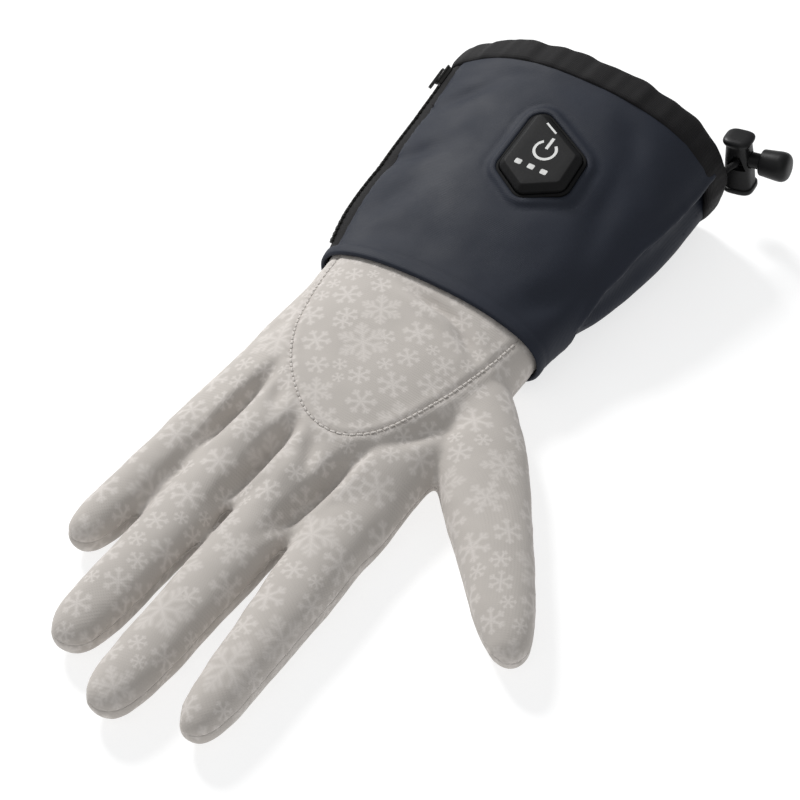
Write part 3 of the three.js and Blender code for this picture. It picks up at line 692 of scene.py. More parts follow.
def hand_form(size):
    """The whole hand as one closed skin: palm, fingers and thumb melted together."""
    bm = bmesh.new()
    count = 96
    inset = size.cuff_wall + FIT_GAP
    mouth = cuff_ring(size, size.wrist_tuck / size.cuff_length, inset, count)
    beyond = mouth + np.array([0, 4.0, 0])
    rings = [beyond, mouth, cuff_ring(size, 0.0, inset, count)]
    rings += [palm_ring(size, along, count) for along in np.linspace(0.1, 1.0, 46)]
    loft(bm, rings)
    for row in FINGER_ROWS:
        root = (row["root"] * size.palm_width, -row["start"] * row["reach"])
        tip = (row["tip"] * size.palm_width, -row["reach"])
        loft(bm, digit_rings(
            FINGER_SECTIONS, root, tip, row["width"], size.finger_height, row["taper"], 48,
        ))
    root = np.array([THUMB_ROOT[0] * size.palm_width, THUMB_ROOT[1] * size.palm_length])
    tip = root + size.thumb_length * np.array([math.sin(THUMB_ANGLE), -math.cos(THUMB_ANGLE)])
    loft(bm, digit_rings(
        THUMB_SECTIONS, root, tip, size.thumb_width, size.thumb_height, 1.0, 48,
    ))
    outwards(bm)
    rough = make_object("hand_rough", bm)
    remesh = rough.modifiers.new("melt", "REMESH")
    remesh.mode = "VOXEL"
    remesh.voxel_size = size.voxel / 1000
    graph = bpy.context.evaluated_depsgraph_get()
    skin = bmesh.new()
    skin.from_mesh(rough.evaluated_get(graph).to_mesh())
    bpy.data.objects.remove(rough)
    for _ in range(SMOOTHING_ROUNDS):
        bmesh.ops.smooth_vert(
            skin, verts=skin.verts, factor=0.5, use_axis_x=True, use_axis_y=True,
            use_axis_z=True,
        )
    return skin


def fold_hand(size, points, normals):
    """Knuckle hollows, wrist folds and small cloth wrinkles."""
    x, y, z = points.T
    upper = smooth_step(z, size.seam_height, size.seam_height + 7)
    sink = fold_depth(
        HAND_FOLDS, x, y, size.palm_width, -size.palm_length, size.wrist_height,
    )
    outside = smooth_step(signed_distance(points[:, :2], inset_line(size))[0], -1.0, 7.0)
    points[:, 2] -= sink * upper * np.where(y < -0.35 * size.palm_length, outside, 1.0)
    wave = noise_at(points, 26.0, 1) * 0.35 + noise_at(points, 9.0, 2) * 0.16
    resting = smooth_step(z, 0.2, 3.0)
    past_hem = smooth_step(-y, -2.0, 6.0)
    return points + normals * (wave * resting * past_hem)[:, None]


def inset_line(size):
    corners = [(a * size.palm_width, -b * size.palm_length) for a, b in INSET_OUTLINE]
    return smooth_line(corners, 240)


# Relief of the hand's seams in millimetres
SEAM_DIP = 0.22
SEAM_RISE = 0.28
PUCKER_DEPTH = 0.13
PUCKER_PITCH = 3.6
SIDE_PUCKER = 0.12


def draw_in_seams(size, points, normals):
    """Draws the cloth in along the seams, with the small puckers of the thread."""
    distance, run = signed_distance(points[:, :2], inset_line(size))
    top = points[:, 2] > size.seam_height + 1
    inset_dip = np.where(top, SEAM_DIP * bell(distance, 0.75), 0)
    pucker = np.where(
        top, PUCKER_DEPTH * np.cos(run * 2 * math.pi / PUCKER_PITCH) * bell(distance, 2.4), 0,
    )
    rise = np.where(top, SEAM_RISE * bell(np.abs(distance), 1.1, 2.0), 0)
    height = points[:, 2] - size.seam_height
    side_dip = SEAM_DIP * bell(height, 0.7)
    side_pucker = SIDE_PUCKER * noise_at(points, 2.6, 5, 1) * bell(height, 2.6)
    return points + normals * (rise + pucker + side_pucker - inset_dip - side_dip)[:, None]


# Flake print, one repeat charted: place across and along the repeat,
# reach of the arms in millimetres, turn in degrees
REPEAT = 58.0
FLAKES = [
    (-3.0, 24.5, 9.0, 8), (-9.5, 8.5, 4.2, 24), (4.5, 12.0, 4.2, 2), (15.5, 15.0, 5.6, 12),
    (-19.5, 3.5, 5.4, 18), (-3.0, -1.0, 6.2, 4), (11.5, 3.5, 5.4, 30), (26.5, 4.5, 8.6, 14),
    (-13.0, -8.0, 4.0, 10), (5.5, -9.0, 6.0, 22), (17.5, -5.5, 4.3, 4), (-6.5, -18.0, 7.4, 0),
    (9.5, -20.5, 5.6, 16), (21.0, -15.0, 5.6, 8), (-20.5, -17.0, 5.4, 26), (-14.5, -26.0, 4.2, 6),
    (1.5, -28.0, 4.0, 12), (-24.5, -7.0, 3.6, 0), (-16.5, 17.5, 5.4, 20), (-26.0, 27.0, 5.6, 10),
    (25.5, 22.5, 5.2, 28), (13.0, 27.0, 4.3, 16), (24.0, -26.5, 4.4, 20), (-14.0, 29.0, 4.0, 2),
    (-26.0, 14.0, 3.8, 12),
]


# Flakes that fill the rest: the least room for one, and their greatest reach
SMALLEST_ROOM = 2.5
SMALL_REACH = 4.0


def fill_repeat():
    """Adds small flakes to the chart, each at the emptiest spot that is left."""
    flakes = list(FLAKES)
    grid = np.stack(np.meshgrid(*[np.arange(0.5, REPEAT)] * 2), axis=-1).reshape(-1, 2)
    grid -= REPEAT / 2
    while True:
        room = np.full(len(grid), 1e9)
        for x, y, reach, _ in flakes:
            gap = grid - np.array([x, y])
            gap -= np.round(gap / REPEAT) * REPEAT
            room = np.minimum(room, np.hypot(*gap.T) - reach)
        best = int(np.argmax(room))
        if room[best] < SMALLEST_ROOM:
            return flakes
        reach = min(room[best] * 0.92, SMALL_REACH)
        flakes.append((*grid[best], reach, (len(flakes) * 23) % 60))


def chart_flakes(made, laid, shift):
    """Gives every face the place that it has on its nearest flake, in arms'
    reaches, as a UV map, and the flake's kind as an attribute."""
    mesh = made.data
    starts = np.empty(len(mesh.polygons), dtype=np.int32)
    totals = np.empty(len(mesh.polygons), dtype=np.int32)
    mesh.polygons.foreach_get("loop_start", starts)
    mesh.polygons.foreach_get("loop_total", totals)
    owner = np.repeat(np.arange(len(starts)), totals)
    centre = np.zeros((len(starts), 2))
    np.add.at(centre, owner, laid)
    centre /= totals[:, None]
    moved = centre - np.array(shift)
    best = np.full(len(starts), 1e9)
    flake = np.zeros(len(starts), dtype=np.int32)
    cell = np.zeros((len(starts), 2))
    flakes = fill_repeat()
    for index, (x, y, reach, _) in enumerate(flakes):
        spot = np.array([x, y])
        lattice = np.round((moved - spot) / REPEAT) * REPEAT + spot
        gap = np.hypot(*(moved - lattice).T) - reach
        nearer = gap < best
        best = np.where(nearer, gap, best)
        flake = np.where(nearer, index, flake)
        cell = np.where(nearer[:, None], lattice, cell)
    facts = np.array(flakes)[flake]
    local = laid - np.array(shift) - cell[owner]
    turn = np.radians(facts[:, 3])[owner]
    reach = facts[:, 2][owner]
    u = (local[:, 0] * np.cos(turn) + local[:, 1] * np.sin(turn)) / reach
    v = (-local[:, 0] * np.sin(turn) + local[:, 1] * np.cos(turn)) / reach
    layer = mesh.uv_layers.new(name="flake")
    layer.uv.foreach_set("vector", np.stack([u, v], axis=1).ravel())
    kind = mesh.attributes.new("flake_kind", "FLOAT", "CORNER")
    kind.data.foreach_set("value", smooth_step(reach, 5.3, 6.6))


# Control form

CONTROL_PLACE = (7.2, 57.0)
CONTROL_TURN = math.radians(32)
CUP_WALL = 1.0
CUP_DEPTH = 3.3
BUTTON_TRAVEL = 0.8


def control_axes(size):
    """Middle of the control on the cuff, and the turn of its own axes."""
    slope = math.atan2(size.opening_height - size.hem_height, size.cuff_length)
    middle = np.array([
        CONTROL_PLACE[0], CONTROL_PLACE[1],
        size.hem_height + math.tan(slope) * CONTROL_PLACE[1],
    ])
    tilt = np.array(Matrix.Rotation(slope, 3, "X"))
    return middle, tilt, tilt @ np.array(Matrix.Rotation(CONTROL_TURN, 3, "Z"))


def control_corners(size):
    """Centres of the round corners, anticlockwise."""
    corners = np.array([
        (0, size.button_point), (-size.button_width / 2, 0),
        (-size.button_heel_width / 2, -size.button_heel),
        (size.button_heel_width / 2, -size.button_heel), (size.button_width / 2, 0),
    ])
    pivots = []
    for i, here in enumerate(corners):
        before = here - corners[i - 1]
        after = corners[(i + 1) % 5] - here
        before, after = before / np.hypot(*before), after / np.hypot(*after)
        first = np.array([before[1], -before[0]])
        second = np.array([after[1], -after[0]])
        bisector = (first + second) / np.hypot(*(first + second))
        pivots.append(here - bisector * size.button_corner / (bisector @ first))
    return np.array(pivots)


def control_field(size, points):
    """How far outside the control's outline each point lies, in the plane of the cuff."""
    middle, _, turned = control_axes(size)
    local = ((points - middle) @ turned)[:, :2]
    pivots = control_corners(size)
    near = np.full(len(points), 1e9)
    inside = np.ones(len(points), dtype=bool)
    for here, after in zip(pivots, np.roll(pivots, -1, axis=0)):
        way = after - here
        gap = local - here
        t = np.clip(gap @ way / (way @ way), 0, 1)
        near = np.minimum(near, np.hypot(*(gap - t[:, None] * way).T))
        inside &= way[0] * gap[:, 1] - way[1] * gap[:, 0] > 0
    return np.where(inside, -near, near) - size.button_corner


CORNER_STEPS = 7


def control_outline(size, grow):
    """Outline of the control with round corners, grown outwards by a distance."""
    pivots = control_corners(size)
    radius = size.button_corner + grow
    outline = []
    for i, pivot in enumerate(pivots):
        before = pivot - pivots[i - 1]
        after = pivots[(i + 1) % 5] - pivot
        start = math.atan2(-before[0], before[1])
        sweep = (math.atan2(-after[0], after[1]) - start) % (2 * math.pi)
        for step in range(CORNER_STEPS):
            angle = start + sweep * step / (CORNER_STEPS - 1)
            outline.append(pivot + radius * np.array([math.cos(angle), math.sin(angle)]))
    return np.array(outline)


def in_control(size, points):
    """Points from the control's own axes to the glove's."""
    middle, _, turned = control_axes(size)
    return np.asarray(points) @ turned.T + middle


def control_ring(size, grow, height, share=1.0):
    """The control's outline, grown or shrunk to a share, at a height on its axes."""
    ring = control_outline(size, grow) * share
    return in_control(size, np.column_stack([ring, np.full(len(ring), height)]))


# Materials

def new_group(name, inputs, outputs):
    group = bpy.data.node_groups.new(name, "ShaderNodeTree")
    for label, kind, value in inputs:
        socket = group.interface.new_socket(name=label, in_out="INPUT", socket_type=kind)
        if value is not None:
            socket.default_value = value
    for label, kind in outputs:
        group.interface.new_socket(name=label, in_out="OUTPUT", socket_type=kind)
    return group, group.nodes.new("NodeGroupInput"), group.nodes.new("NodeGroupOutput")


def put(tree, kind, inputs=None, **settings):
    """Adds a node. Inputs are values or the sockets that feed them."""
    node = tree.nodes.new(kind)
    for name, value in settings.items():
        setattr(node, name, value)
    for key, value in (inputs or {}).items():
        if isinstance(value, bpy.types.NodeSocket):
            tree.links.new(value, node.inputs[key])
        else:
            node.inputs[key].default_value = value
    return node


def maths(tree, operation, *values):
    node = put(tree, "ShaderNodeMath", dict(enumerate(values)), operation=operation)
    return node.outputs[0]


def ramp(tree, factor, stops):
    node = put(tree, "ShaderNodeValToRGB", {0: factor})
    elements = node.color_ramp.elements
    while len(elements) > 1:
        elements.remove(elements[0])
    for index, (place, value) in enumerate(stops):
        element = elements[0] if index == 0 else elements.new(place)
        element.position = place
        element.color = (value, value, value, 1.0)
    return node.outputs[0]


def products(tree, operation, first, second):
    """Joins the products of two pairs of values, as their sum or difference."""
    return maths(tree, operation, maths(tree, "MULTIPLY", *first), maths(tree, "MULTIPLY", *second))


def hypotenuse(tree, x, y):
    return maths(tree, "SQRT", products(tree, "ADD", (x, x), (y, y)))


def flake_group():
    """Six arms folded onto one: a stem and two pairs of slanting branches."""
    group, source, result = new_group(
        "Flake mark",
        [("Place", "NodeSocketVector", None), ("Kind", "NodeSocketFloat", 0.0),
         ("Softness", "NodeSocketFloat", 0.05)],
        [("Mask", "NodeSocketFloat")],
    )
    split = put(group, "ShaderNodeSeparateXYZ", {0: source.outputs["Place"]})
    x, y = split.outputs[0], split.outputs[1]
    radius = hypotenuse(group, x, y)
    full = maths(group, "ADD", maths(group, "ARCTAN2", y, x), 2 * math.pi)
    angle = maths(group, "PINGPONG", full, math.radians(30))
    forward = maths(group, "MULTIPLY", radius, maths(group, "COSINE", angle))
    aside = maths(group, "MULTIPLY", radius, maths(group, "SINE", angle))

    def by_kind(plain, grand):
        node = put(group, "ShaderNodeMix", {0: source.outputs["Kind"], 2: plain, 3: grand})
        return node.outputs[0]

    def branch(place, lean, reach, width):
        """How far inside a straight branch with a round end a point lies."""
        ahead = maths(group, "SUBTRACT", forward, place)
        cosine, sine = math.cos(math.radians(lean)), math.sin(math.radians(lean))
        run = products(group, "ADD", (ahead, cosine), (aside, sine))
        off = products(group, "SUBTRACT", (aside, cosine), (ahead, sine))
        nearest = maths(group, "MINIMUM", maths(group, "MAXIMUM", run, 0.0), reach)
        past = maths(group, "SUBTRACT", run, nearest)
        return maths(group, "SUBTRACT", width, hypotenuse(group, past, off))

    stem = branch(0.0, 0.0, by_kind(0.86, 0.92), by_kind(0.076, 0.05))
    outer = branch(by_kind(0.6, 0.66), 46.0, by_kind(0.22, 0.2), by_kind(0.078, 0.048))
    inner = branch(by_kind(0.2, 0.4), 46.0, by_kind(0.02, 0.3), by_kind(0.09, 0.048))
    best = maths(group, "MAXIMUM", stem, maths(group, "MAXIMUM", outer, inner))
    edge = maths(group, "DIVIDE", best, source.outputs["Softness"])
    inside = put(group, "ShaderNodeMath", {0: edge, 1: 0.5}, operation="ADD", use_clamp=True)
    group.links.new(inside.outputs[0], result.inputs["Mask"])
    return group


def knit_group():
    """Fine knit ribs with a soft nap: height for the bump and a shade."""
    group, source, result = new_group(
        "Fine knit",
        [("Place", "NodeSocketVector", None), ("Ribs", "NodeSocketFloat", 1.4),
         ("Nap", "NodeSocketFloat", 0.5)],
        [("Height", "NodeSocketFloat"), ("Shade", "NodeSocketFloat")],
    )
    scaled = put(group, "ShaderNodeVectorMath", {
        0: source.outputs["Place"], "Scale": source.outputs["Ribs"],
    }, operation="SCALE")
    ribs = put(group, "ShaderNodeTexWave", {
        "Vector": scaled.outputs[0], "Scale": 0.32, "Distortion": 0.6, "Detail": 1.0,
        "Detail Scale": 2.0,
    }, bands_direction="X")
    courses = put(group, "ShaderNodeTexWave", {
        "Vector": scaled.outputs[0], "Scale": 0.24, "Distortion": 0.8, "Detail": 1.0,
    }, bands_direction="Y")
    nap = put(group, "ShaderNodeTexNoise", {
        "Vector": source.outputs["Place"], "Scale": 1.7, "Detail": 3.0, "Roughness": 0.7,
    })
    knit = maths(group, "MULTIPLY", ribs.outputs["Fac"], courses.outputs["Fac"])
    fuzz = maths(group, "MULTIPLY", nap.outputs["Fac"], source.outputs["Nap"])
    group.links.new(maths(group, "ADD", knit, fuzz), result.inputs["Height"])
    shade = products(group, "ADD", (knit, 0.25), (nap.outputs["Fac"], 0.75))
    group.links.new(shade, result.inputs["Shade"])
    return group


def blotch_group():
    """Slow change of shade over a surface, from 0 to 1."""
    group, source, result = new_group(
        "Slow shade",
        [("Place", "NodeSocketVector", None), ("Scale", "NodeSocketFloat", 40.0)],
        [("Shade", "NodeSocketFloat")],
    )
    slow = put(group, "ShaderNodeTexNoise", {
        "Vector": source.outputs["Place"], "Scale": source.outputs["Scale"], "Detail": 3.0,
        "Roughness": 0.55,
    })
    shade = ramp(group, slow.outputs["Fac"], [(0.3, 0.0), (0.7, 1.0)])
    group.links.new(shade, result.inputs["Shade"])
    return group


GROUPS = {"Flake mark": flake_group, "Fine knit": knit_group, "Slow shade": blotch_group}


def use_group(tree, name, inputs):
    """Places a shared group, which is built the first time it is asked for."""
    group = bpy.data.node_groups.get(name) or GROUPS[name]()
    return put(tree, "ShaderNodeGroup", inputs, node_tree=group)


def plain_material(name, base, roughness, **constants):
    material = bpy.data.materials.new(name)
    material.use_nodes = True
    tree = material.node_tree
    shader = next(node for node in tree.nodes if node.type == "BSDF_PRINCIPLED")
    shader.inputs["Base Color"].default_value = (*base, 1.0)
    shader.inputs["Roughness"].default_value = roughness
    for key, value in constants.items():
        shader.inputs[key.replace("_", " ")].default_value = value
    return material, tree, shader


def object_place(tree):
    return put(tree, "ShaderNodeTexCoord").outputs["Object"]


def place_in_mm(tree):
    scaled = put(tree, "ShaderNodeVectorMath", {0: object_place(tree), "Scale": 1000.0},
                 operation="SCALE")
    return scaled.outputs[0]


def slow_shade(tree, scale):
    """Slow change of shade over a piece, at its own scale."""
    return use_group(tree, "Slow shade", {
        "Place": object_place(tree), "Scale": scale,
    }).outputs["Shade"]


def mix_colour(tree, factor, first, second):
    node = put(tree, "ShaderNodeMix", data_type="RGBA")
    for key, value in ((0, factor), (6, first), (7, second)):
        if isinstance(value, bpy.types.NodeSocket):
            tree.links.new(value, node.inputs[key])
        else:
            node.inputs[key].default_value = value if key == 0 else (*value, 1.0)
    return node.outputs[2]


def shade_of(base, factor):
    return tuple(min(1.0, channel * factor) for channel in base)


def tones(tree, factor, base, low, high):
    """A colour that goes between two shades of a base colour."""
    return mix_colour(tree, factor, shade_of(base, low), shade_of(base, high))


def roughen(tree, shader, factor, low, high):
    rough = put(tree, "ShaderNodeMapRange", {0: factor, 3: low, 4: high})
    tree.links.new(rough.outputs[0], shader.inputs["Roughness"])


def bump(tree, shader, height, strength, distance):
    node = put(tree, "ShaderNodeBump", {
        "Height": height, "Strength": strength, "Distance": distance,
    })
    tree.links.new(node.outputs[0], shader.inputs["Normal"])


def jersey_material(colours):
    """Knit with a soft nap and the flake print, on the cloth's own UV maps."""
    ground = tuple(colours.jersey)
    material, tree, shader = plain_material(
        "printed_jersey", ground, 0.9, Sheen_Weight=0.12, Sheen_Roughness=0.5,
        Specular_IOR_Level=0.25,
    )
    flake_uv = put(tree, "ShaderNodeUVMap", uv_map="flake")
    cloth_uv = put(tree, "ShaderNodeUVMap", uv_map="cloth")
    kind = put(tree, "ShaderNodeAttribute", attribute_name="flake_kind")
    mark = use_group(tree, "Flake mark", {
        "Place": flake_uv.outputs[0], "Kind": kind.outputs["Fac"], "Softness": 0.16,
    })
    knit = use_group(tree, "Fine knit", {
        "Place": cloth_uv.outputs[0], "Ribs": 1.5, "Nap": 0.7,
    })
    toned = tones(tree, slow_shade(tree, 30.0), ground, 0.95, 1.05)
    nappy = tones(tree, knit.outputs["Shade"], ground, 0.93, 1.07)
    cloth = mix_colour(tree, 0.3, toned, nappy)
    inked = maths(tree, "MULTIPLY", mark.outputs["Mask"], 0.62)
    printed = mix_colour(tree, inked, cloth, tuple(colours.flake))
    tree.links.new(printed, shader.inputs["Base Color"])
    bump(tree, shader, knit.outputs["Height"], 0.25, 0.00018)
    return material


def softshell_material(colours):
    """Smooth face with a fine grain and slow shades."""
    ground = tuple(colours.softshell)
    material, tree, shader = plain_material(
        "cuff_softshell", ground, 0.62, Specular_IOR_Level=0.2,
    )
    knit = use_group(tree, "Fine knit", {"Place": place_in_mm(tree), "Ribs": 2.2, "Nap": 0.35})
    slow = slow_shade(tree, 45.0)
    toned = tones(tree, slow, ground, 0.88, 1.14)
    grained = tones(tree, knit.outputs["Shade"], ground, 0.86, 1.16)
    tree.links.new(mix_colour(tree, 0.45, toned, grained), shader.inputs["Base Color"])
    roughen(tree, shader, slow, 0.55, 0.68)
    bump(tree, shader, knit.outputs["Height"], 0.25, 0.0002)
    return material


def edging_material(colours):
    """Coarser black knit of the channel, the cord and the zip band."""
    found = bpy.data.materials.get("edging_cloth")
    if found:
        return found
    ground = tuple(colours.edging)
    material, tree, shader = plain_material(
        "edging_cloth", ground, 0.75, Specular_IOR_Level=0.2,
    )
    knit = use_group(tree, "Fine knit", {"Place": place_in_mm(tree), "Ribs": 1.6, "Nap": 0.4})
    shade = tones(tree, knit.outputs["Shade"], ground, 0.75, 1.35)
    tree.links.new(shade, shader.inputs["Base Color"])
    bump(tree, shader, knit.outputs["Height"], 0.35, 0.0003)
    return material


def moulded_material(name, base, roughness, grain, metallic=0.0):
    """Moulded plastic, rubber or cast metal with a fine grain."""
    base = tuple(base)
    material, tree, shader = plain_material(
        name, base, roughness, Metallic=metallic, Specular_IOR_Level=0.5 if metallic else 0.2,
    )
    grains = put(tree, "ShaderNodeTexNoise", {
        "Vector": object_place(tree), "Scale": grain, "Detail": 2.0,
    }).outputs["Fac"]
    shade = tones(tree, slow_shade(tree, 140.0), base, 0.85, 1.2)
    tree.links.new(shade, shader.inputs["Base Color"])
    roughen(tree, shader, grains, roughness - 0.06, roughness + 0.08)
    bump(tree, shader, grains, 0.12, 0.0001)
    return material


def thread_material(colours):
    """Sewing thread with its twist."""
    base = tuple(colours.thread)
    material, tree, shader = plain_material("thread", base, 0.75)
    twist = put(tree, "ShaderNodeTexWave", {
        "Vector": object_place(tree), "Scale": 1400.0, "Distortion": 1.0,
    }).outputs["Fac"]
    tree.links.new(tones(tree, twist, base, 0.7, 1.15), shader.inputs["Base Color"])
    bump(tree, shader, twist, 0.4, 0.0001)
    return material


def ink_material(colours):
    """Printed marks with slight wear."""
    base = tuple(colours.print_ink)
    material, tree, shader = plain_material("printed_marks", base, 0.5)
    wear = put(tree, "ShaderNodeTexNoise", {
        "Vector": object_place(tree), "Scale": 2200.0, "Detail": 3.0,
    }).outputs["Fac"]
    tree.links.new(tones(tree, wear, base, 0.85, 1.05), shader.inputs["Base Color"])
    return material


def window_material(colours):
    """Clear windows of the lights, which are off."""
    base = tuple(colours.print_ink)
    material, tree, shader = plain_material("clear_window", base, 0.35)
    shade = tones(tree, slow_shade(tree, 900.0), base, 0.85, 1.0)
    tree.links.new(shade, shader.inputs["Base Color"])
    return material


# Operators

# Camera: lens in millimetres, and in metres the spot it looks at and its way back
LENS = 136.4
LOOKS_AT = Vector((-0.01704, 0.00895, 0.0))
STANDS_BACK = Vector((0.4005, -0.5827, 0.7071))

# Lamps in metres and watts
LAMPS = table(
    "name place aim width power",
    ("key_light", (-1.15, 0.55, 1.0), (-0.02, 0.0, 0), 0.45, 24.0),
    ("fill_light", (0.3, -1.2, 1.6), (0, 0, 0), 1.4, 3.0),
)
SKY_COLOUR = (0.97, 0.985, 1.0, 1.0)
SKY_STRENGTH = 0.45
FLOOR_HALF = 6.0
FLOOR_GLOW = 0.72


class GLOVE_OT_stage(bpy.types.Operator):
    """Camera, floor and soft studio light"""
    bl_idname = "glove.stage"
    bl_label = "Stage"

    def execute(self, context):
        scene = context.scene
        camera_data = bpy.data.cameras.new("camera")
        camera_data.lens = LENS
        camera = bpy.data.objects.new("camera", camera_data)
        scene.collection.objects.link(camera)
        camera.location = LOOKS_AT + STANDS_BACK
        camera.rotation_euler = (-STANDS_BACK).to_track_quat("-Z", "Y").to_euler()
        scene.camera = camera

        bm = bmesh.new()
        bmesh.ops.create_grid(bm, x_segments=1, y_segments=1, size=FLOOR_HALF)
        floor = make_object("floor", bm)
        base = tuple(scene.glove_colours.floor)
        material, tree, shader = plain_material(
            "floor_paper", base, 0.9, Emission_Strength=FLOOR_GLOW,
            Emission_Color=(1.0, 1.0, 1.0, 1.0),
        )
        grain = put(tree, "ShaderNodeTexNoise", {"Scale": 400.0, "Detail": 2.0})
        shade = tones(tree, grain.outputs["Fac"], base, 0.96, 1.04)
        tree.links.new(shade, shader.inputs["Base Color"])
        floor.data.materials.append(material)

        for row in LAMPS:
            data = bpy.data.lights.new(row["name"], "AREA")
            data.shape = "DISK"
            data.size = row["width"]
            data.energy = row["power"]
            lamp = bpy.data.objects.new(row["name"], data)
            lamp.location = row["place"]
            way = Vector(row["aim"]) - Vector(row["place"])
            lamp.rotation_euler = way.to_track_quat("-Z", "Y").to_euler()
            scene.collection.objects.link(lamp)

        world = bpy.data.worlds.new("studio")
        scene.world = world
        world.use_nodes = True
        background = world.node_tree.nodes["Background"]
        background.inputs["Color"].default_value = SKY_COLOUR
        background.inputs["Strength"].default_value = SKY_STRENGTH
        scene.view_settings.view_transform = "Standard"
        return {"FINISHED"}


# Stitches round the inset, in millimetres
STITCH_PITCH = 2.2
STITCH_LENGTH = 1.95
STITCH_WIDTH = 0.8
STITCH_HEIGHT = 0.46
STITCH_EDGE = 0.16
STITCH_LIFT = 0.12


class GLOVE_OT_hand(bpy.types.Operator):
    """Back of the hand, inset and palm in printed jersey"""
    bl_idname = "glove.hand"
    bl_label = "Hand"

    def execute(self, context):
        size = sizes_in_mm(context.scene)
        colours = context.scene.glove_colours
        skin = reshape(hand_form(size), lambda *cloth: fold_hand(size, *cloth))
        edge = size.wrist_tuck - 0.4
        cut_along(skin, lambda p: p[:, 1] - edge, clear=True)
        cut_along(skin, lambda p: p[:, 2] - size.seam_height)
        line = inset_line(size)
        skin.faces.ensure_lookup_table()
        upper = [f for f in skin.faces
                 if (f.calc_center_median().z * 1000) > size.seam_height + 2]
        cut_along(skin, lambda p: signed_distance(p[:, :2], line)[0], faces=upper)
        skin = reshape(skin, lambda *cloth: draw_in_seams(size, *cloth))
        centres = face_points(skin)
        inside = signed_distance(centres[:, :2], line)[0]
        above = centres[:, 2] > size.seam_height
        high = centres[:, 2] > size.seam_height + 2
        in_inset = high & (inside < 0)
        material = jersey_material(colours)
        pieces = [
            ("jersey_inset", in_inset, (0.0, 0.0), "back_inset"),
            ("jersey_back", above & ~in_inset, (3.0, 1.5), "back_panel"),
            ("jersey_palm", ~above, (11.0, 7.0), "palm_panel"),
        ]
        for name, flags, shift, node in pieces:
            made = make_object(name, part_of(skin, flags))
            laid = unwrap(made, flip=(node == "palm_panel"))
            chart_flakes(made, laid, shift)
            smooth_shade(made)
            wall(made, size.hand_wall)
            finish_piece(made, "glove", "print_jersey", material, node)
        tree = BVHTree.FromBMesh(skin)
        skin.free()
        self.stitch(size, colours, tree, line)
        return {"FINISHED"}

    @staticmethod
    def stitch(size, colours, tree, line):
        """A row of thread stitches in the seam round the inset."""
        seam = line[line[:, 1] < -1.5]
        run = np.concatenate([[0], np.cumsum(np.hypot(*np.diff(seam, axis=0).T))])
        count = int(run[-1] / STITCH_PITCH)
        bm = bmesh.new()
        for place in (np.arange(count) + 0.5) * STITCH_PITCH:
            ends = []
            for side in (-0.5, 0.5):
                at = place + side * STITCH_LENGTH
                spot = [np.interp(at, run, seam[:, k]) for k in (0, 1)]
                hit, normal = touch(tree, (*spot, 60.0), (0, 0, -1))
                ends.append(hit + normal * STITCH_LIFT)
            turn = Vector(ends[1] - ends[0]).to_track_quat("X", "Z").to_matrix()
            add_block(bm, (ends[0] + ends[1]) / 2, turn,
                      (STITCH_LENGTH, STITCH_WIDTH, STITCH_HEIGHT))
        bevel_blocks(bm, STITCH_EDGE, 1)
        made = make_object("inset_stitches", bm)
        smooth_shade(made)
        finish_piece(made, "glove", "print_jersey", thread_material(colours))


# The cloth's edge presses this far into the cup's soft rim, so no light comes through
CLOTH_GRIP = 0.1

# Lip round the control: distance out from the hole, and height of the cloth there
LIP_PROFILE = [
    (0.0, 0.35), (0.2, 0.75), (0.5, 0.97), (1.0, 1.05), (1.9, 1.0), (2.5, 0.72), (3.1, 0.3),
    (3.8, 0.02), (4.8, -0.12), (6.2, -0.04), (8.0, 0.0),
]

# Soft folds of the cuff's top cloth, in the columns of the hand's folds
CUFF_WAVES = table(
    "across along heading length width depth",
    (-0.33, 0.28, 62, 0.2, 0.05, 0.022),
    (-0.25, 0.12, 20, 0.2, 0.06, 0.014),
    (0.1, 0.2, 158, 0.3, 0.07, 0.012),
    (0.34, 0.55, 100, 0.3, 0.05, 0.02),
    (0.28, 0.85, 130, 0.2, 0.05, 0.018),
    (-0.1, 0.93, 8, 0.4, 0.04, 0.012),
)


# Relief of the cuff's cloth in millimetres
HEM_ROLL = 0.9
HEM_DIP = 0.25
HEM_RIDGE = 0.12
SEAM_TUCK = 2.2
WEDGE_TUCK = 4.0
SEAM_LIFT = 0.95
BAND_EDGE_DIP = 0.5
BAND_DIP = 0.35
WEDGE_RIPPLE = 0.25


def cuff_lines(size):
    """Where the cuff's cloth is cut, in millimetres."""
    climb = ZIP_CLIMB * size.opening_height / size.cuff_length
    start = GUSSET_SEAM[0][0] * size.cuff_length
    left = zip_low(size, 0) + size.zip_width / 2
    right = (GUSSET_FOOT + GUSSET_SEAM[0][1]) / 2 * size.opening_height - climb * start
    return SimpleNamespace(
        hole=size.button_bevel + CUP_WALL + FIT_GAP - CLOTH_GRIP,
        foot=GUSSET_FOOT * size.opening_height,
        start=start,
        seam_y=[a * size.cuff_length for a, _ in GUSSET_SEAM],
        seam_z=[h * size.opening_height for _, h in GUSSET_SEAM],
        zip_start=ZIP_START * size.cuff_length,
        climb=climb,
        slope=(right - left) / (size.opening_width * 0.96),
        middle=(left + right) / 2,
    )


def over_zip(size, points):
    """Height over the zip band's lower edge."""
    return points[:, 2] - zip_low(size, points[:, 1] / size.cuff_length)


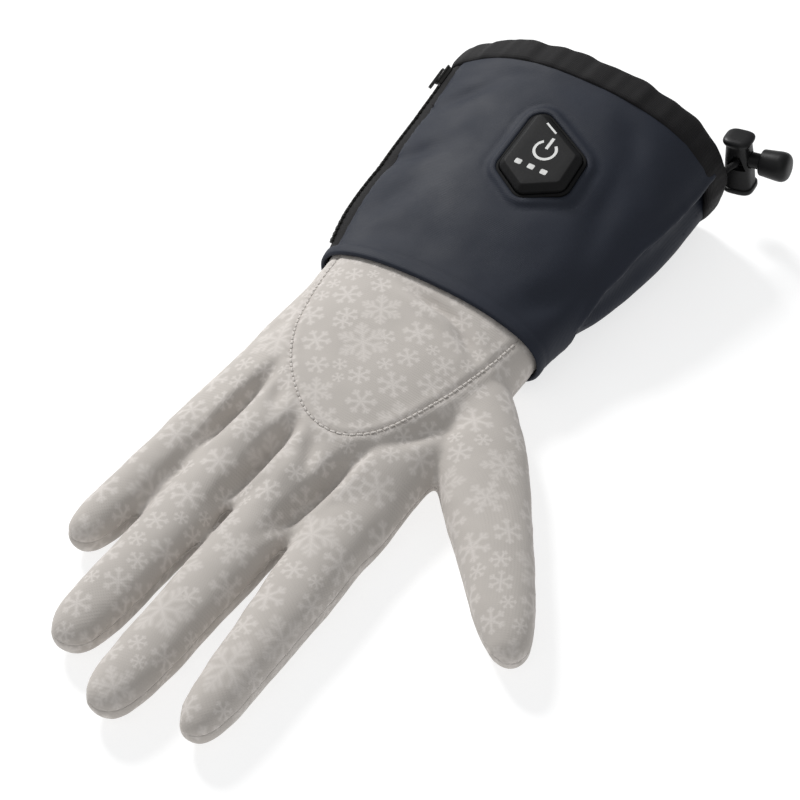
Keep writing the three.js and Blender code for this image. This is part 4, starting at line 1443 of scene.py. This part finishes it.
def shape_cuff(size, lines, points, normals):
    """Lip, hem roll, seams and folds."""
    x, y, z = points.T
    gap = control_field(size, points) - lines.hole
    high = z > size.hem_height
    lip = np.interp(gap, *np.transpose(LIP_PROFILE))
    away = smooth_step(gap, 4.0, 12.0)
    resting = smooth_step(z, 0.2, 4.0)
    ends = smooth_step(y, 0.0, 10.0) * (1 - 0.7 * smooth_step(y, 84, 96))
    fold = fold_depth(
        CUFF_WAVES, x, y, size.opening_width, size.cuff_length, size.opening_height,
    ) * smooth_step(z, 16, 30)
    wave = noise_at(points, 30.0, 11) * 0.5 + noise_at(points, 11.0, 12) * 0.16
    moved = (wave - fold) * np.where(high, away, 1.0) * resting * ends
    hem = HEM_ROLL * np.clip(1 - y, 0, 1) ** 2 + HEM_DIP * bell(y, 0.7, 5.0)
    ridge = HEM_RIDGE * bell(y, 1.6, 2.4)
    on_thumb_side = (x > 15) & (y > lines.start - 6)
    under_seam = np.interp(y, lines.seam_y, lines.seam_z) - z
    pocket = smooth_step(under_seam, 0.0, 2.2) * (1 - smooth_step(under_seam, 5, 16))
    tuck = np.where(
        on_thumb_side,
        SEAM_TUCK * bell(under_seam, 0.8)
        + WEDGE_TUCK * pocket * smooth_step(y, lines.start, lines.start + 14),
        0,
    )
    lift = np.where(
        on_thumb_side & (under_seam < 0), SEAM_LIFT * bell(under_seam, 1.8, -1.6), 0,
    ) * smooth_step(y, lines.start, lines.start + 12)
    over = over_zip(size, points)
    band_edge = np.minimum(np.abs(over), np.abs(over - size.zip_width))
    in_band = (over > 0) & (over < size.zip_width)
    dip = np.where(
        (x < -20) & (y > lines.zip_start),
        BAND_EDGE_DIP * bell(band_edge, 0.7) + np.where(in_band, BAND_DIP, 0.0), 0,
    )
    ripple = WEDGE_RIPPLE * noise_at(points * np.array([0.4, 1.6, 0.4]), 6.0, 14, 1)
    ripple *= np.where(on_thumb_side, bell(under_seam, 5.0), 0)
    outward = moved + ridge * resting - hem - tuck + lift - dip + ripple
    _, tilt, _ = control_axes(size)
    return points + normals * outward[:, None] + np.where(high, lip, 0)[:, None] * tilt[:, 2]


def cut_panels(size, bm, lines):
    """Cuts the cuff along its seams and the zip band's edges."""

    def side(sign):
        return [f for f in bm.faces
                if (f.calc_center_median().x - ORIGIN[0]) * sign > 0.02]

    cut_along(bm, lambda p: p[:, 2] - np.interp(p[:, 1], lines.seam_y, lines.seam_z),
              faces=side(1))
    cut_along(bm, lambda p: p[:, 2] - (
        lines.middle + p[:, 0] * lines.slope + p[:, 1] * lines.climb))
    cut_along(bm, lambda p: p[:, 2] - lines.foot, faces=side(1))
    cut_along(bm, lambda p: p[:, 1] - lines.start, faces=side(1))
    cut_along(bm, lambda p: over_zip(size, p), faces=side(-1))
    cut_along(bm, lambda p: over_zip(size, p) - size.zip_width, faces=side(-1))
    cut_along(bm, lambda p: p[:, 1] - lines.zip_start, faces=side(-1))


def cut_hole(size, bm, hole):
    """Cuts rows round the control for its lip, and takes out what lies inside."""
    for level, _ in LIP_PROFILE[:-1]:
        centres = face_points(bm)
        near = np.abs(control_field(size, centres) - hole - level) < 5
        near &= centres[:, 2] > size.hem_height
        cut_along(bm, lambda p: control_field(size, p) - hole - level,
                  faces=[face for face, flag in zip(bm.faces, near) if flag])
    centres = face_points(bm)
    inside = (control_field(size, centres) < hole) & (centres[:, 2] > size.hem_height)
    drop = [face for face, flag in zip(bm.faces, inside) if flag]
    bmesh.ops.delete(bm, geom=drop, context="FACES")


class GLOVE_OT_cuff(bpy.types.Operator):
    """Softshell cuff: top, side wedge, underside and zip band"""
    bl_idname = "glove.cuff"
    bl_label = "Cuff"

    def execute(self, context):
        size = sizes_in_mm(context.scene)
        colours = context.scene.glove_colours
        lines = cuff_lines(size)
        bm = bmesh.new()
        rows = np.concatenate([
            [0, 0.002, 0.005, 0.009, 0.014, 0.02], np.linspace(0.03, 0.985, 92),
            [0.992, 1.0, 1.018],
        ])
        loft(bm, [cuff_ring(size, along, 0.0, 240) for along in rows], caps=False)
        outwards(bm)
        cut_panels(size, bm, lines)
        cut_hole(size, bm, lines.hole)
        centres = face_points(bm)
        bm = reshape(bm, lambda *cloth: shape_cuff(size, lines, *cloth))

        x, y, z = centres.T
        seam = np.interp(y, lines.seam_y, lines.seam_z)
        gusset = (x > 20) & (y > lines.start) & (z > lines.foot) & (z < seam)
        over = over_zip(size, centres)
        band = (x < -20) & (y > lines.zip_start) & (over > 0) & (over < size.zip_width)
        under = z < lines.middle + x * lines.slope + y * lines.climb
        under &= ~(band | gusset)
        material = softshell_material(colours)
        pieces = [
            ("cuff_top", ~(under | gusset | band), "cuff_top_panel", material, "softshell"),
            ("cuff_side", gusset, "cuff_side_gusset", material, "softshell"),
            ("cuff_under", under, "cuff_under_panel", material, "softshell"),
            ("zip_band", band, "zip_tape", edging_material(colours), "zip_fabric"),
        ]
        for name, flags, node, finish, slot in pieces:
            made = make_object(name, part_of(bm, flags))
            smooth_shade(made)
            wall(made, size.cuff_wall)
            finish_piece(made, "glove", slot, finish, node)
        bm.free()
        return {"FINISHED"}


# How far the channel reaches over the end of the cuff's cloth
CHANNEL_LAP = 2.6

# Waves round the opening: depth in millimetres, count and start angle
GATHERS = [(0.3, 17, 1.1), (0.26, 29, 1.3), (0.12, 53, 0.4)]
LAP_WAVES = [(0.4, 11, 0.7), (0.25, 23, 0.0)]


class GLOVE_OT_binding(bpy.types.Operator):
    """Gathered drawcord channel round the arm opening"""
    bl_idname = "glove.binding"
    bl_label = "Drawcord channel"

    def execute(self, context):
        size = sizes_in_mm(context.scene)
        colours = context.scene.glove_colours
        around, profile = 320, 22
        base = smooth_line(cuff_ring(size, 1.0, size.cuff_wall / 2, 160), around, closed=True)
        centre = base.mean(axis=0)
        way = np.roll(base, -1, axis=0) - np.roll(base, 1, axis=0)
        out = np.stack([way[:, 2], np.zeros(around), -way[:, 0]], axis=1)
        out /= np.linalg.norm(out, axis=1)[:, None]
        out *= np.sign((out * (base - centre)).sum(axis=1))[:, None]
        wide, thick = soft_square(full_turn(profile), 0.7)
        broad = size.binding_width + CHANNEL_LAP + FIT_GAP
        middle = size.cuff_length - CHANNEL_LAP + broad / 2

        def waves(rows, turn):
            return sum(depth * math.sin(turn * count + start) for depth, count, start in rows)

        rings = []
        for spot, outward, turn in zip(base, out, full_turn(around)):
            swell = thick * (size.binding_thickness / 2 + waves(GATHERS, turn) * 0.6)
            ring = spot + outward * swell[:, None]
            ring[:, 1] = middle + wide * broad / 2 + waves(LAP_WAVES, turn) * (wide > 0.2)
            ring[:, 2] = np.maximum(ring[:, 2], 0)
            rings.append(ring)
        bm = bmesh.new()
        rows = loft(bm, rings, caps=False)
        edges = [bm.edges.get((row[i - 1], row[i]))
                 for row in (rows[0], rows[-1]) for i in range(profile)]
        bmesh.ops.bridge_loops(bm, edges=edges)
        outwards(bm)
        made = make_object("drawcord_channel", bm)
        smooth_shade(made)
        finish_piece(made, "glove", "edging", edging_material(colours), "cuff_binding")
        return {"FINISHED"}


COIL_PITCH = 1.3


class GLOVE_OT_zip(bpy.types.Operator):
    """Coils and slider of the side zip"""
    bl_idname = "glove.zip"
    bl_label = "Zip"

    def execute(self, context):
        size = sizes_in_mm(context.scene)
        colours = context.scene.glove_colours
        tree = surface_tree(bpy.data.objects["zip_band"])
        start = (ZIP_START + 0.04) * size.cuff_length
        end = 0.88 * size.cuff_length

        def seat(y):
            """Foot on the band's crest, with the ways along, up and out of it."""
            spots = []
            for ahead, above in ((0, 0), (2.5, 0), (-2.5, 0), (0, 1.2), (0, -1.2)):
                crest = zip_low(size, (y + ahead) / size.cuff_length) + size.zip_width / 2
                spots.append(touch(tree, (-120.0, y + ahead, crest + above), (1, 0, 0))[0])
            run = spots[1] - spots[2]
            run /= np.linalg.norm(run)
            out = np.cross(spots[3] - spots[4], run)
            out /= np.linalg.norm(out)
            out *= -np.sign(out[0])
            return spots[0], run, np.cross(out, run), out

        bm = bmesh.new()
        for index, y in enumerate(np.arange(start, end, COIL_PITCH)):
            foot, run, up, out = seat(y)
            middle = foot + out * 0.4 + up * (0.36 if index % 2 else -0.36)
            turn = Matrix(np.column_stack([out, run, up]).tolist())
            add_block(bm, middle, turn, (1.1, 0.92, 2.1))
        bevel_blocks(bm, 0.28, 2)
        coils = make_object("zip_coils", bm)
        smooth_shade(coils)
        finish_piece(coils, "glove", "zip_fabric", moulded_material(
            "zip_plastic", colours.zip_band, 0.45, 900.0), "zip_chain")

        bm = bmesh.new()
        foot, run, up, out = seat(0.93 * size.cuff_length)

        def lay(points):
            return foot + points @ np.stack([up, run, out])

        angle = np.linspace(0, 2 * math.pi, 40, endpoint=False)
        across, along = soft_square(angle, 0.75)
        plate = np.stack([across * (2.6 + 0.4 * along), along * 4.4], axis=1)
        slab(bm, plate * 0.94, -0.3, 1.1, lay)
        slab(bm, plate, 1.0, 1.9, lay)
        arch = np.stack([across * 0.8, along * 2.5], axis=1)
        slab(bm, arch, 1.8, 2.8, lay)
        outwards(bm)
        body = make_object("slider_body", bm)
        round_edges(body, 0.22)
        bm = bmesh.new()
        pull = np.stack([across * 1.6, along * 4.6 - 2.9], axis=1)
        slab(bm, pull, 1.7, 2.9, lay)
        outwards(bm)
        hole = bmesh.new()
        slab(hole, np.stack([np.cos(angle) * 0.7, np.sin(angle) * 1.0 - 5.9], axis=1),
             1.2, 4.0, lay)
        outwards(hole)
        tab = make_object("slider_pull", carve(bm, hole))
        round_edges(tab, 0.2)
        metal = moulded_material("zip_metal", colours.metal, 0.45, 700.0, metallic=0.4)
        for made in (body, tab):
            smooth_shade(made, 40)
            finish_piece(made, "glove", "slider_metal", metal)
        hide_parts("zip_slider")
        return {"FINISHED"}


class GLOVE_OT_control(bpy.types.Operator):
    """Push button with its light windows and printed marks, in its cup"""
    bl_idname = "glove.control"
    bl_label = "Control"

    def execute(self, context):
        size = sizes_in_mm(context.scene)
        colours = context.scene.glove_colours
        top = size.button_height
        foot = -CUP_DEPTH + CUP_WALL + BUTTON_TRAVEL + FIT_GAP
        skirt = size.button_bevel
        levels = [
            (skirt - 0.25, foot), (skirt, foot + 0.25), (skirt, 1.1), (skirt - 0.06, 1.45),
            (skirt - 0.24, 1.75), (0.3, top - 0.3), (0.1, top - 0.14), (-0.12, top - 0.03),
            (-0.4, top), (-3.0, top),
        ]
        bm = bmesh.new()
        rings = []
        for grow, height in levels:
            ring = control_outline(size, max(grow, -size.button_corner + 0.02))
            if grow < -1:
                ring = ring * 0.8
            rings.append(in_control(size, np.column_stack([ring, np.full(len(ring), height)])))
        loft(bm, rings)
        outwards(bm)
        button = make_object("push_button", bm)
        smooth_shade(button, 30)
        rubber = moulded_material("button_rubber", colours.rubber, 0.62, 1500.0)
        finish_piece(button, "control", "black_rubber", rubber, "control_button")

        window = window_material(colours)
        row_turn = -CONTROL_TURN
        step = np.array([math.cos(row_turn), math.sin(row_turn)])
        side = np.array([-step[1], step[0]])
        middle = np.array([-size.button_heel_width * 0.24, -size.button_heel * 0.33])
        for index in range(3):
            spot = middle + step * (index - 1) * 5.0
            corners = []
            for a, b in ((-1, -1), (1, -1), (1, 1), (-1, 1)):
                for turn in (-0.5, 0, 0.5):
                    swing = math.atan2(b, a) + turn
                    local = np.array([a * 0.72, b * 0.5]) + 0.55 * np.array(
                        [math.cos(swing), math.sin(swing)])
                    corners.append(spot + step * local[0] + side * local[1])
            bm = bmesh.new()
            slab(bm, corners, top - 0.5, top + 0.08, lambda p: in_control(size, p))
            outwards(bm)
            made = make_object(f"light_window_{index + 1}", bm)
            round_edges(made, 0.07, segments=2)
            smooth_shade(made, 40)
            finish_piece(made, "control", "light_window", window,
                         f"indicator_light_{index + 1}")

        bm = bmesh.new()
        centre = np.array([1.7, 3.0])
        upright = np.array([math.sin(row_turn) * -1, math.cos(row_turn)])
        level = np.array([upright[1], -upright[0]])
        ring = []
        for turn in np.radians(np.linspace(90 + 38, 450 - 38, 41)):
            way = level * math.cos(turn) + upright * math.sin(turn)
            ring.append(in_control(size, np.array([
                (*(centre + way * radius), top + rise)
                for radius, rise in ((3.3, -0.02), (3.3, 0.05), (4.3, 0.05), (4.3, -0.02))
            ])))
        loft(bm, ring)
        bar = [centre + level * a + upright * b
               for a, b in ((-0.55, 0.6), (0.55, 0.6), (0.55, 5.6), (-0.55, 5.6))]
        slab(bm, bar, top - 0.02, top + 0.05, lambda p: in_control(size, p))
        first, last = np.array([2.4, 14.6]), np.array([5.4, 9.8])
        across = np.array([last[1] - first[1], first[0] - last[0]])
        across = across / np.hypot(*across) * 0.36
        dash = [first - across, first + across, last + across, last - across]
        slab(bm, dash, top - 0.02, top + 0.05, lambda p: in_control(size, p))
        outwards(bm)
        marks = make_object("button_marks", bm)
        finish_piece(marks, "control", "light_window", ink_material(colours))

        inner, outer = skirt + FIT_GAP, skirt + FIT_GAP + CUP_WALL
        floor = -CUP_DEPTH + CUP_WALL
        bm = bmesh.new()
        loft(bm, [
            in_control(size, np.column_stack([ring, np.full(len(ring), height)]))
            for ring, height in (
                (control_outline(size, outer - 0.3), -CUP_DEPTH),
                (control_outline(size, outer), -CUP_DEPTH + 0.3),
                (control_outline(size, outer), 0.25), (control_outline(size, outer - 0.3), 0.5),
                (control_outline(size, inner + 0.15), 0.5), (control_outline(size, inner), 0.3),
                (control_outline(size, inner), floor + 0.3),
                (control_outline(size, inner - 0.3), floor),
            )
        ])
        outwards(bm)
        cup = make_object("control_cup", bm)
        smooth_shade(cup, 40)
        plastic = moulded_material("cup_plastic", shade_of(tuple(colours.plastic), 0.5), 0.8, 900.0)
        finish_piece(cup, "glove", "black_plastic", plastic, "control_base")
        return {"FINISHED"}


LOCK_ASIDE = 0.8
LOCK_BEYOND = 9.5
LOCK_HEIGHT = 28.0
CORD_DIAMETER = 2.2
STEM_DIAMETER = 5.6
STEM_LENGTH = 5.6
PLUNGER_TRAVEL = 3.0
LOCK_WIDTH, LOCK_DEPTH, LOCK_TALL = 10.0, 9.0, 23.0


class GLOVE_OT_cord_lock(bpy.types.Operator):
    """Cord lock, its plunger and the drawcord"""
    bl_idname = "glove.cord_lock"
    bl_label = "Cord lock"

    def execute(self, context):
        size = sizes_in_mm(context.scene)
        colours = context.scene.glove_colours
        ring = cuff_ring(size, 1.0, size.cuff_wall / 2, 360)
        ring = ring[ring[:, 0] > 0]
        wall_spot = ring[np.argmin(np.abs(ring[:, 2] - (LOCK_HEIGHT - CORD_DIAMETER / 2)))]
        leave = size.cuff_length + 0.3 + size.binding_width + FIT_GAP
        origin = np.array([
            wall_spot[0] + LOCK_ASIDE, size.cuff_length + size.binding_width + LOCK_BEYOND,
            LOCK_HEIGHT,
        ])
        turn = Matrix.Rotation(math.radians(7), 3, "Z") @ Matrix.Rotation(
            math.radians(-6), 3, "Y")
        axes = np.array(turn)

        def lay(points):
            return np.asarray(points) @ axes.T + origin

        half, deep = LOCK_WIDTH / 2, LOCK_DEPTH / 2
        top = LOCK_TALL * 0.4
        foot = top - LOCK_TALL
        levels = [
            (foot + 0.6, 0.84), (foot + 0.7, 0.96), (foot + 1.0, 1.08), (foot + 1.4, 1.12),
            (foot + 2.6, 1.12), (foot + 2.85, 1.09), (foot + 2.95, 1.0), (foot + 3.2, 0.98),
            (-5.0, 0.96), (0.0, 0.92), (top - 3.3, 0.84), (top - 2.9, 0.88), (top - 2.2, 0.98),
            (top - 1.6, 1.03), (top - 1.2, 1.04), (top - 0.8, 1.02), (top - 0.35, 0.92),
            (top - 0.08, 0.76), (top, 0.5),
        ]
        angle = np.linspace(0, 2 * math.pi, 56, endpoint=False)
        across, along = soft_square(angle, 0.6)
        bm = bmesh.new()
        loft(bm, [lay(np.column_stack([
            across * half * grow, along * deep * grow, np.full(56, height)]))
            for height, grow in levels])
        outwards(bm)
        radius = STEM_DIAMETER / 2 + FIT_GAP
        start = half - STEM_LENGTH - PLUNGER_TRAVEL - FIT_GAP
        bore = bmesh.new()
        loft(bore, [lay(np.column_stack([
            np.full(40, x), np.cos(np.arange(40) / 40 * 2 * math.pi) * radius,
            np.sin(np.arange(40) / 40 * 2 * math.pi) * radius])) for x in (start, half * 1.3)])
        outwards(bore)
        bm = carve(bm, bore)
        slot = CORD_DIAMETER + 2 * FIT_GAP
        wide = PLUNGER_TRAVEL / 2 + CORD_DIAMETER
        window = [(-wide, -slot), (wide, -slot), (wide * 0.5, slot), (0, slot * 1.25)]
        tunnel = bmesh.new()
        loft(tunnel, [lay(np.array([[x, y, z] for x, z in window]))
                      for y in (-LOCK_DEPTH, LOCK_DEPTH)])
        outwards(tunnel)
        body = make_object("lock_body", carve(bm, tunnel))
        round_edges(body, 0.25, angle=40)
        smooth_shade(body, 40)
        plastic = moulded_material("moulded_plastic", colours.plastic, 0.42, 900.0)
        finish_piece(body, "glove", "black_plastic", plastic, "cord_lock_body")

        seat = PLUNGER_TRAVEL + FIT_GAP
        profile = [
            (0.01, -STEM_LENGTH), (2.5, -STEM_LENGTH), (2.8, -STEM_LENGTH + 0.3), (2.8, seat),
            (4.2, seat), (4.5, seat + 0.12), (4.65, seat + 0.4), (4.7, seat + 0.9),
            (5.0, seat + 4.0), (5.25, seat + 6.6), (5.25, seat + 7.6), (5.1, seat + 8.5),
            (4.7, seat + 9.3), (4.0, seat + 9.9), (3.0, seat + 10.25), (1.6, seat + 10.4),
            (0.01, seat + 10.4),
        ]
        spin = np.arange(40) / 40 * 2 * math.pi
        bm = bmesh.new()
        loft(bm, [lay(np.column_stack([
            np.full(40, half + h), np.cos(spin) * r, np.sin(spin) * r])) for r, h in profile])
        outwards(bm)
        gap = bmesh.new()
        long = CORD_DIAMETER + PLUNGER_TRAVEL + 2 * FIT_GAP
        middle = PLUNGER_TRAVEL / 2
        edge = [(middle - long / 2, -slot / 2), (middle + long / 2, -slot / 2),
                (middle + long / 2, slot / 2), (middle - long / 2, slot / 2)]
        loft(gap, [lay(np.array([[x, y, z] for x, z in edge])) for y in (-6.0, 6.0)])
        outwards(gap)
        plunger = make_object("lock_plunger_knob", carve(bm, gap))
        smooth_shade(plunger, 40)
        finish_piece(plunger, "lock_plunger", "black_plastic", plastic, "cord_lock_plunger")

        exit_spot = np.array([wall_spot[0], leave, wall_spot[2]])
        inner = (exit_spot - origin) @ axes
        beyond = (exit_spot + np.array([0, CORD_DIAMETER, 0]) - origin) @ axes
        route = smooth_line([
            inner, beyond, (0, -deep, 0), (0, -deep / 2, 0), (0, 0, 0), (0, deep / 2, 0),
            (0, deep + 0.9, 0),
        ], 90)
        way = np.gradient(route, axis=0)
        way /= np.linalg.norm(way, axis=1)[:, None]
        up = np.array([0.0, 0.0, 1.0])
        rings = []
        for index, (spot, ahead) in enumerate(zip(route, way)):
            side = np.cross(ahead, up)
            side /= np.linalg.norm(side)
            high = np.cross(side, ahead)
            spin = np.arange(24) / 24 * 2 * math.pi
            braid = 1.06 + 0.05 * np.abs(np.sin(spin * 4 + index * 0.6)) * np.abs(
                np.sin(spin * 4 - index * 0.6))
            rings.append(lay(spot + braid[:, None] * (
                np.cos(spin)[:, None] * side + np.sin(spin)[:, None] * high)))
        bm = bmesh.new()
        loft(bm, rings)
        outwards(bm)
        cord = make_object("drawcord_braid", bm)
        smooth_shade(cord)
        finish_piece(cord, "glove", "edging", edging_material(colours), "drawcord")
        return {"FINISHED"}


class GLOVE_PT_panel(bpy.types.Panel):
    """Sizes, colours and pieces of the glove"""
    bl_label = "Heated glove"
    bl_idname = "GLOVE_PT_panel"
    bl_space_type = "VIEW_3D"
    bl_region_type = "UI"
    bl_category = "Glove"

    def draw(self, context):
        layout = self.layout
        for step in STEPS:
            layout.operator(step.bl_idname)
        for group, kind in (("glove_sizes", GloveSizes), ("glove_colours", GloveColours)):
            box = layout.box()
            for name in kind.__annotations__:
                box.prop(getattr(context.scene, group), name)


STEPS = (
    GLOVE_OT_stage, GLOVE_OT_hand, GLOVE_OT_cuff, GLOVE_OT_binding, GLOVE_OT_zip,
    GLOVE_OT_control, GLOVE_OT_cord_lock,
)
CLASSES = (GloveSizes, GloveColours, *STEPS, GLOVE_PT_panel)


def register():
    for kind in CLASSES:
        bpy.utils.register_class(kind)
    bpy.types.Scene.glove_sizes = PointerProperty(type=GloveSizes)
    bpy.types.Scene.glove_colours = PointerProperty(type=GloveColours)


def unregister():
    del bpy.types.Scene.glove_colours
    del bpy.types.Scene.glove_sizes
    for kind in reversed(CLASSES):
        bpy.utils.unregister_class(kind)


def main():
    register()
    for step in STEPS:
        group, name = step.bl_idname.split(".")
        getattr(getattr(bpy.ops, group), name)()


if __name__ == "__main__":
    main()
